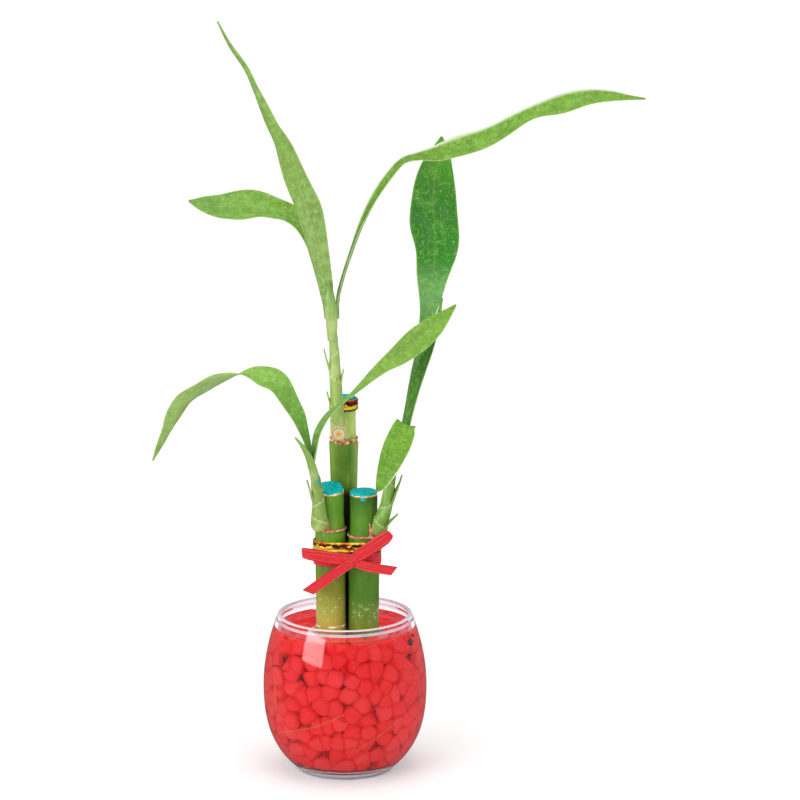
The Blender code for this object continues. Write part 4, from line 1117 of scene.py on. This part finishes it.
def make_water():
    """The water fills the bowl between the pebbles too, with a raised edge at the glass and the canes."""
    corner = base_corner()[::-1]
    edge = WATER_LEVEL + MENISCUS
    profile = [(0.0, BOWL_BASE - WATER_INTO_GLASS)]
    profile += [(radius + WATER_INTO_GLASS, z - WATER_INTO_GLASS) for radius, z in corner]
    profile += [(inner_radius(z) + WATER_INTO_GLASS, z)
                for z in np.linspace(BOWL_BASE + BASE_FILLET, edge, WATER_ROWS)]
    wall = profile[-1][0]
    # Rings of the surface, by their way in from its edge: fine at the glass, then coarser.
    inward = list(np.linspace(0.15, 6.0, 24)) + list(np.linspace(6.6, wall - 0.6, 40))
    profile += [(wall - step, edge) for step in inward] + [(0.0, edge)]

    def meniscus(index, angle, radius, z):
        if z < edge - TINY:
            return radius, z
        far = min(wall - radius, max(0.0, cane_distance(radius * math.cos(angle), radius * math.sin(angle))))
        return radius, WATER_LEVEL + MENISCUS * math.exp(-far / MENISCUS_REACH)

    def finishes(row):
        return 1 if profile[row + 1][1] < edge - TINY else 0

    tints = ((255, 250, 250), (255, 246, 246))
    surface = clear_material("water_surface", WATER_IOR, *tints, 1.0)
    side = clear_material("water_side", WATER_IOR, *tints, 0.1)
    turned = lathe(profile, BOWL_SIDES, shape=meniscus, finishes=finishes)
    make_piece("water_body", [turned], [surface, side], "water")


# Pebbles and roots.

def round_directions(fineness):
    """Directions evenly over a sphere, and the triangles between them."""
    ball = bmesh.new()
    bmesh.ops.create_icosphere(ball, subdivisions=fineness, radius=1.0)
    directions = np.array([vertex.co for vertex in ball.verts])
    faces = [tuple(vertex.index for vertex in face.verts) for face in ball.faces]
    ball.free()
    return directions, faces


def random_direction(draw):
    return unit(np.array([draw.gauss(0, 1) for _ in range(3)]))


def scatter(draw):
    """Centres of the pebbles and how each is stretched: first those against the glass, then those inside."""
    centres = [np.array(polar(inner_radius(z) - DARK_BIT_DEPTH, math.radians(angle), z))
               for angle, z in DARK_BITS]
    stretches = [np.eye(3) * DARK_BIT_CLOSENESS] * len(centres)
    lowest, highest = BOWL_BASE + PEBBLE_OVER_BASE, PEBBLE_TOP - PEBBLE_UNDER_TOP
    for attempt in range(PEBBLE_TRIES):
        angle = draw.uniform(0, 2 * math.pi)
        z = draw.uniform(lowest, highest)
        wall = inner_radius(z)
        if attempt < TRIES_AT_GLASS:
            radius = wall - draw.uniform(*DEPTH_AT_GLASS)
        else:
            radius = (wall - DEPTH_INSIDE) * math.sqrt(draw.random())
        spot = np.array(polar(radius, angle, z))
        lengthwise = random_direction(draw)
        closeness = draw.uniform(*PEBBLE_CLOSENESS)
        stretch = np.eye(3) * closeness - np.outer(lengthwise, lengthwise) * draw.uniform(0.0, PEBBLE_STRETCH)
        if z > CANES_FROM_Z and cane_distance(spot[0], spot[1]) < ROOM_AT_CANES:
            continue
        apart = np.array(centres) - spot
        between = (np.array(stretches) + stretch) / 2
        if np.min(np.einsum("ni,nij,nj->n", apart, between, apart)) > PEBBLE_SPACING**2:
            centres.append(spot)
            stretches.append(stretch)
    return np.array(centres), np.array(stretches)


def pebble_planes(index, centres, stretches, draw):
    """A pebble's flat faces: towards its neighbours, the glass, the canes and the top, and a few chips."""
    centre = centres[index]
    away = centres - centre
    distance = np.linalg.norm(away, axis=1)
    normals, reaches = [], []
    for other in np.flatnonzero((distance > 0) & (distance < PEBBLE_SIGHT)):
        normals.append(unit((stretches[index] + stretches[other]) @ away[other]))
        reaches.append(normals[-1] @ away[other] / 2 - PEBBLE_GAP / 2)
    x, y, z = centre
    radius = math.hypot(x, y)
    slope = inner_radius(z + 0.5) - inner_radius(z - 0.5)
    outward = unit(np.array((x / radius, y / radius, -slope)))
    normals.append(outward)
    reaches.append((inner_radius(z) - radius) * outward[:2] @ np.array((x, y)) / radius - PEBBLE_GLASS_GAP)
    for cane in CANES.values():
        aside = np.array((cane["x"] - x, cane["y"] - y, 0.0))
        room = np.linalg.norm(aside) - cane["low"] - GAP
        if 0.5 < room < PEBBLE_SIGHT:
            normals.append(unit(aside))
            reaches.append(room)
    normals.append(np.array((0.0, 0.0, -1.0)))
    reaches.append(z - BOWL_BASE - GAP)
    tilt = [draw.uniform(-TOP_TILT, TOP_TILT) for _ in range(2)]
    normals.append(unit(np.array((*tilt, 1.0))))
    reaches.append(PEBBLE_TOP - z - draw.uniform(0.0, TOP_UNEVEN))
    nearest, furthest = CHIP_REACH if index >= len(DARK_BITS) else DARK_BIT_CHIP_REACH
    for _ in range(PEBBLE_CHIPS):
        normals.append(random_direction(draw))
        reaches.append(draw.uniform(nearest, furthest))
    return np.array(normals), np.clip(np.array(reaches), LEAST_REACH, None)


def make_pebbles():
    """Close-packed angular stones. Each is rounded by a smooth minimum over its flat faces."""
    draw = random.Random(SEED)
    centres, stretches = scatter(draw)
    directions, faces = round_directions(3)
    stones, shades = [], []
    for index in range(len(centres)):
        normals, reaches = pebble_planes(index, centres, stretches, draw)
        facing = np.clip(directions @ normals.T, 0.0, None) / reaches
        reach = np.sum(facing**PEBBLE_SHARPNESS, axis=1, keepdims=True) ** (-1 / PEBBLE_SHARPNESS)
        stones.append((centres[index] + directions * reach, [(0.0, 0.0)] * len(directions), faces, 0))
        shade = draw.uniform(*PEBBLE_SHADE) if index >= len(DARK_BITS) else 0.0
        shades += [shade] * len(directions)
    obj = make_piece("pebbles", stones, [pebble_material()], "pebble_bed", ALL_SMOOTH)
    mark(obj, "shade", shades)


def make_roots():
    finish = root_material()
    for number, route in enumerate(ROOTS, 1):
        rows = []
        for k, (angle, z) in enumerate(curve_through(route, ROOT_STEPS)):
            spot = polar(inner_radius(z) - ROOT_GLASS_GAP, math.radians(angle), z)
            rows.append((*spot, ROOT_RADIUS if k else ROOT_TIP_RADIUS))
        make_piece(f"root_{number}", [tube(rows, ROOT_SIDES)], [finish], None)


# Canes, scars and wax.

def cane_profile(side):
    """Rows of radius and z: a groove and a swelling at each node, and a slight waist between the nodes."""
    cane = CANES[side]
    low, high, node, swell = cane["low"], cane["high"], cane["node"], cane["swell"]
    rows = [(low - 0.5, cane["bottom"]), (low - 0.1, cane["bottom"] + 1.0)]
    rows += [(low - 0.1, WATER_LEVEL), (low - WAIST, WATER_LEVEL + WAIST_OVER_WATER)]
    if side == "back":
        rows += [(low - 0.1, BACK_LOWER_NODE_Z - 1.5), (low - 0.5, BACK_LOWER_NODE_Z)]
        rows += [(low - 0.2, BACK_LOWER_NODE_Z + 1.5), (low - WAIST, BACK_WAIST_Z)]
    rows += [(low + 0.3 * swell, node - 9.0), (low + swell, node - 2.0)]
    rows += [(low - NODE_GROOVE, node - 1.0), (low - NODE_GROOVE, node + 0.6)]
    rows += [(high + 0.15, node + 1.4), (high - 0.1, node + TILT_OVER_NODE), (high, cane["top"] - 0.95)]
    fine = [(0.0, cane["bottom"])]
    for (r1, z1), (r2, z2) in zip(rows, rows[1:]):
        steps = max(1, round((z2 - z1) / CANE_ROW))
        fine += [(r1 + (r2 - r1) * k / steps, z1 + (z2 - z1) * k / steps) for k in range(steps)]
    fine += [rows[-1], (high - 0.1, cane["top"] - 0.6), (high - 0.55, cane["top"] - 0.1),
             (high - 1.4, cane["top"]), (0.5 * high, cane["top"]), (0.0, cane["top"])]
    return fine


def make_cane(side, bare_cut, cut_edge):
    cane = CANES[side]
    profile = cane_profile(side)
    tilt_from = cane["node"] + TILT_OVER_NODE
    edge_row = len(profile) - 6

    def grown(index, angle, radius, z):
        share = max(0.0, (z - tilt_from) / (cane["top"] - tilt_from))
        rough = 0.05 * wobble(3 * math.cos(angle), 3 * math.sin(angle), z / 9)
        return radius * (1 + 0.01 * rough) + rough, z + share * cane["slope"] * radius * math.sin(angle)

    def finishes(row):
        if row < edge_row:
            return 0
        return 2 if row == edge_row else 1

    bark = cane_material(side, BARK_FROM_Z, cane["top"])
    turned = about_cane(side, profile, CANE_SIDES, grown, finishes)
    make_piece("stalk_" + side, [turned], [bark, bare_cut, cut_edge], "cane_" + side)


def make_scar(side, finish):
    """The dried collar that the old leaf left at the node, torn at its edge, with root nubs below it."""
    cane = CANES[side]
    inner = cane["low"] - NODE_GROOVE + GAP
    outer = inner + SCAR_THICKNESS
    node = cane["node"]
    profile = [(inner, node - 0.4), (inner + 0.25, node - 0.55), (outer - 0.1, node - 0.55),
               (outer, node - 0.3), (outer - 0.05, node), (outer - 0.3, node + 0.25),
               (inner + 0.1, node + 0.35), (inner, node + 0.1)]
    seed = cane["scar"]

    def torn(index, angle, radius, z):
        x, y = 3.2 * math.cos(angle), 3.2 * math.sin(angle)
        coarse = wobble(x, y, seed)
        fine = wobble(4 * x, 4 * y, seed + index)
        nub = 0.5 * max(0.0, wobble(1.7 * x, 1.7 * y, seed + 5) - 0.12)
        if side == "back":
            turned = math.degrees(angle) - 360 if angle > math.pi else math.degrees(angle)
            nub += sum(length * math.exp(-((turned - at) / NUB_WIDTH) ** 2) for at, length in BACK_NUBS)
        if index in (1, 2, 3):
            z -= NUB_DROP * nub
        if index in (2, 3, 4, 5):
            radius += TEAR_OUT[0] * coarse + TEAR_OUT[1] * fine
            z += TEAR_UP[0] * coarse + TEAR_UP[1] * fine
        return radius, z

    parts = [about_cane(side, profile, SCAR_SIDES, torn)]
    if side in SCAR_FLAPS:
        parts.append(blade(SCAR_FLAPS[side], 6, 3, thickness=FLAP_THICKNESS))
    make_piece("scar_" + side, parts, [finish, finish], "leaf_scar_" + side)


def make_wax_cap(side, finish):
    """The wax that seals the cut: a rough cap with a ragged edge."""
    cane = CANES[side]
    radius = cane["high"] - 0.1
    low = cane["top"] + GAP * 0.5
    top = low + WAX_THICKNESS
    profile = [(0.0, low), (radius - 0.4, low), (radius - 0.05, low + 0.15), (radius, low + 0.4),
               (radius - 0.15, low + 0.65), (radius - 0.5, top)]
    profile += [(radius * (0.86 - 0.08 * k), top) for k in range(10)] + [(0.0, top)]
    seed = cane["wax"]

    def lumpy(index, angle, r, z):
        x, y = math.cos(angle), math.sin(angle)
        edge = WAX_SWING * wobble(2.2 * x, 2.2 * y, seed) + 0.3
        fringe = min(1.0, max(0.0, 0.45 + 1.6 * wobble(6 * x, 6 * y, seed + 3)))
        if index in (2, 3, 4, 5):
            r += max(-WAX_SWING, min(edge, WAX_OVERHANG))
        if index in (2, 3) and edge > 0:
            z -= (3.6 - index) * 0.55 * fringe
        if index > 4:
            z += 0.12 * wobble(0.9 * r * x, 0.9 * r * y, seed + 2)
        return r, z + cane["slope"] * r * y

    turned = about_cane(side, profile, WAX_SIDES, lumpy)
    make_piece("wax_cap_" + side, [turned], [finish], "wax_" + side)


# Shoots and leaves.

def make_shoot(side):
    """A stem of nested sheaths. Each sheath ends in a slanting rim, above which the stem is thinner."""
    shoot = SHOOTS[side]
    rims = []

    def sheathed(angle, z, radius):
        around = abs((angle / math.pi) % 2 - 1)
        nearest, steps = 9.0, 0.0
        for number, height in enumerate(shoot["rims"]):
            slanted = around if number % 2 else 1 - around
            above = z - height - SHEATH_SLANT * slanted
            steps += SHEATH_STEP / (1 + math.exp(min(9.0, above / RIM_ROUNDING)))
            nearest = above if abs(above) < abs(nearest) else nearest
        rims.append(0.5 + (0.5 if nearest < 0 else -0.5) * math.exp(-abs(nearest) / RIM_FADE))
        return max(radius + steps - SHEATH_STEP * len(shoot["rims"]) * 0.6, LEAST_RADIUS)

    parts = [tube(shoot["stem"], STEM_SIDES, STEM_STEPS, sheathed)]
    parts += [one_finish(blade(rows, 6, 4, thickness=SHEATH_THICKNESS)) for rows in shoot["sheaths"]]
    obj = make_piece("sprout_" + side, parts, [shoot_material(side)], "shoot_" + side)
    mark(obj, "rim", rims + [0.5] * (len(obj.data.vertices) - len(rims)))


def make_leaves():
    for name, leaf in LEAVES.items():
        places = leaf.get("places", LEAF_PLACES)
        finishes = [leaf_material(name + face, leaf[colours], places, leaf.get("edge"))
                    for face, colours in (("_upper", "colours"), ("_under", "under"))]
        toward = np.array(leaf.get("toward", DEPTH))
        part = blade(leaf["rows"], toward=toward, wave=leaf["wave"], waves=leaf["waves"])
        make_piece(name.replace("leaf", "foliage"), [part], finishes, name)


# Foil and ribbon.

def hull_path(steps):
    """Points and outward directions on the tight loop round the three canes."""
    found = []
    for k in range(steps):
        angle = 2 * math.pi * k / steps
        outward = np.array((math.cos(angle), math.sin(angle)))
        reaches = [cane["x"] * outward[0] + cane["y"] * outward[1] + cane["low"] for cane in CANES.values()]
        far = list(CANES.values())[reaches.index(max(reaches))]
        found.append((np.array((far["x"], far["y"])) + far["low"] * outward, outward))
    return found


def loop_band(profile, steps, rough=0.0):
    """A closed band round the canes. The profile is a closed outline of outward offset and z."""
    points, spots, faces = [], [], []
    size = len(profile)
    gone = 0.0
    path = hull_path(steps)
    for i, (spot, outward) in enumerate(path):
        gone += float(np.linalg.norm(spot - path[i - 1][0]))
        for k, (offset, z) in enumerate(profile):
            crinkle = rough * wobble(gone / 1.6, z / 0.9, 3.0) if k else 0.0
            at = spot + outward * (offset + crinkle)
            points.append((at[0], at[1], z + 0.5 * crinkle))
            spots.append((k / (size - 1), i / steps))
    for i in range(steps):
        j = (i + 1) % steps
        for k in range(size):
            m = (k + 1) % size
            faces.append((i * size + k, i * size + m, j * size + m, j * size + k))
    return points, spots, faces, 0


def ridged_profile(inner, z):
    """A closed outline of offset and z with a rounded ridge for each turn of the foil."""
    rows = [(inner, z)]
    for turn in range(GOLD_RIDGES):
        low = z + turn * GOLD_RIDGE
        for step in range(RIDGE_STEPS):
            share = step / RIDGE_STEPS
            rise_out = RIDGE_FOOT + (1 - RIDGE_FOOT) * math.sin(math.pi * share) ** RIDGE_POWER
            rows.append((inner + rise_out * GOLD_THICKNESS, low + share * GOLD_RIDGE))
    rows.append((inner + RIDGE_FOOT * GOLD_THICKNESS, z + GOLD_RIDGES * GOLD_RIDGE))
    rows.append((inner, z + GOLD_RIDGES * GOLD_RIDGE))
    return rows


def make_foil():
    height = GOLD_RIDGES * GOLD_RIDGE
    tie = foil_material("foil_of_tie", GOLD_TIE_Z, GOLD_TIE_Z + height)
    band = loop_band(ridged_profile(GAP, GOLD_TIE_Z), BAND_STEPS, TIE_CRINKLE)
    make_piece("foil_tie", [band], [tie], "gold_tie", FOIL_SHARP)

    def crinkled(index, angle, radius, z):
        rough = COIL_CRINKLE * wobble(5 * math.cos(angle), 5 * math.sin(angle), z / 0.9) if index else 0.0
        return radius + rough, z

    profile = ridged_profile(CANES["back"]["high"] + GAP, COIL_FOOT_Z)
    turned = about_cane("back", profile, COIL_SIDES, crinkled)
    coil = foil_material("foil_of_coil", COIL_FOOT_Z, GOLD_COIL_Z + height)
    make_piece("foil_coil", [turned], [coil], "gold_coil", FOIL_SHARP)


def knot():
    """A creased lump, longer along the lean of the right loop."""
    directions, faces = round_directions(5)
    along, upward = math.cos(math.radians(KNOT_LEAN)), math.sin(math.radians(KNOT_LEAN))
    points = []
    for x, y, z in directions:
        crease = 0.06 * math.sin(9 * z + 2.0 * x) + 0.05 * wobble(3 * x, 3 * y, 3 * z)
        lump = [half * c * (1 + crease) for half, c in zip(KNOT_HALF, (x, y, z))]
        points.append((KNOT_CENTRE[0] + along * lump[0] - upward * lump[2], KNOT_CENTRE[1] + lump[1],
                       KNOT_CENTRE[2] + upward * lump[0] + along * lump[2]))
    return points, [(0.5 + 0.5 * z, 0.5 + 0.5 * x) for x, _, z in directions], faces, 0


def make_bow():
    finish = ribbon_material()

    def ribbon(name, part, sharp=SHARP):
        make_piece("ribbon_" + name, [part], [finish], "ribbon_bow", sharp)

    low, high = RIBBON_BAND_Z - RIBBON_WIDTH / 2, RIBBON_BAND_Z + RIBBON_WIDTH / 2
    outside = [(GAP + RIBBON_THICKNESS + RIBBON_BULGE * math.sin(math.pi * t), low + (high - low) * t)
               for t in np.linspace(0, 1, 9)]
    ribbon("band", loop_band([(GAP, low)] + outside + [(GAP, high)], BAND_STEPS, RIBBON_CRINKLE))
    for name, part in BOW.items():
        toward = np.array(part.get("toward", DEPTH))
        strip = blade(part["rows"], 5, 4, toward, RIBBON_WAVE, RIBBON_WAVES, RIBBON_THICKNESS,
                      part.get("slant", 0.0), RIBBON_EDGE_THINNING)
        ribbon(name, one_finish(strip))
    ribbon("knot", knot(), ALL_SMOOTH)


# Surroundings.

def make_floor():
    mesh = bpy.data.meshes.new("floor")
    near, far = -FLOOR_REACH, 2 * FLOOR_REACH
    mesh.from_pydata([(near, near, 0), (-near, near, 0), (-near, far, 0), (near, far, 0)], [], [(0, 1, 2, 3)])
    mesh.materials.append(floor_material())
    floor = bpy.data.objects.new("floor", mesh)
    bpy.context.scene.collection.objects.link(floor)
    floor.visible_glossy = False
    floor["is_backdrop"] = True


def add_lamp(name, spot, aim, size, power):
    lamp = bpy.data.lights.new(name, "AREA")
    lamp.shape = "RECTANGLE"
    lamp.size, lamp.size_y = size
    lamp.energy = power
    light = bpy.data.objects.new(name, lamp)
    light.location = spot
    light.rotation_euler = (Vector(aim) - Vector(spot)).to_track_quat("-Z", "Y").to_euler()
    bpy.context.scene.collection.objects.link(light)


def make_lights():
    world = bpy.data.worlds.new("studio")
    world.use_nodes = True
    tree = world.node_tree
    direction = put(tree, "ShaderNodeTexCoord").outputs["Generated"]
    sideways, onward, raised = split(tree, direction)
    path = put(tree, "ShaderNodeLightPath").outputs
    reflected = maths(tree, "COMPARE", path["Glossy Depth"], 1.0, 0.5)
    scattered = maths(tree, "GREATER_THAN", path["Diffuse Depth"], 0.5)
    direct = maths(tree, "LESS_THAN", path["Transmission Depth"], 0.5)
    outside = times(tree, direct, rise(tree, onward, *ONWARD_FADE))
    mirrored = times(tree, maths(tree, "COMPARE", raised, *WATER_MIRROR_HEIGHT),
                     maths(tree, "COMPARE", sideways, *WATER_MIRROR_SIDEWAYS))
    glare = times(tree, reflected, maths(tree, "SUBTRACT", 1.0, scattered))
    glare = times(tree, glare, maths(tree, "MAXIMUM", mirrored, outside))
    sky = blend(tree, glare, (255, 255, 255), ramp(tree, raised, DIM_SKY))
    tree.links.new(sky, tree.nodes["Background"].inputs["Color"])
    inside = times(tree, scattered, maths(tree, "SUBTRACT", 1.0, direct))
    strength = maths(tree, "MULTIPLY_ADD", inside, LIGHT_INTO_BOWL - SKY, SKY)
    tree.links.new(strength, tree.nodes["Background"].inputs["Strength"])
    bpy.context.scene.world = world
    for lamp in LAMPS:
        add_lamp(*lamp)


def make_camera():
    lens = bpy.data.cameras.new("camera")
    lens.lens, lens.sensor_width = LENS_MM, SENSOR_MM
    lens.clip_start, lens.clip_end = 0.05, 60.0
    camera = bpy.data.objects.new("camera", lens)
    raised = math.radians(CAMERA_ELEVATION)
    back = Vector((0.0, -math.cos(raised), math.sin(raised)))
    camera.location = (Vector(CAMERA_TARGET) + back * CAMERA_DISTANCE) * MM
    camera.rotation_euler = (math.radians(90 - CAMERA_ELEVATION), 0.0, 0.0)
    bpy.context.scene.collection.objects.link(camera)
    bpy.context.scene.camera = camera
    bpy.context.scene.view_settings.view_transform = "Standard"
    paths = bpy.context.scene.cycles
    paths.max_bounces = 32
    paths.transmission_bounces = 32
    paths.glossy_bounces = 12
    paths.diffuse_bounces = 8


def main():
    make_camera()
    make_lights()
    make_floor()
    make_bowl()
    make_water()
    make_pebbles()
    make_roots()
    bare_cut = dry_material("bare_cut", ((240, 214, 178), (248, 236, 216), (226, 180, 132)), 900.0, 0.5)
    cut_edge = dry_material("cut_edge", ((236, 196, 150), (206, 96, 40), (168, 74, 26)), 500.0, 0.5)
    for side in CANES:
        make_cane(side, bare_cut, cut_edge)
    scar = dry_material("dry_scar", ((150, 76, 44), (206, 128, 92), (242, 214, 192)), 600.0, 0.6)
    for side in CANES:
        make_scar(side, scar)
    wax = wax_material()
    for side in CANES:
        make_wax_cap(side, wax)
    for side in CANES:
        make_shoot(side)
    make_leaves()
    make_foil()
    make_bow()
    ({name: [list(corner) for corner in box] for name, box in
               (("cad", cad_box), ("visual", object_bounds()))})


main()
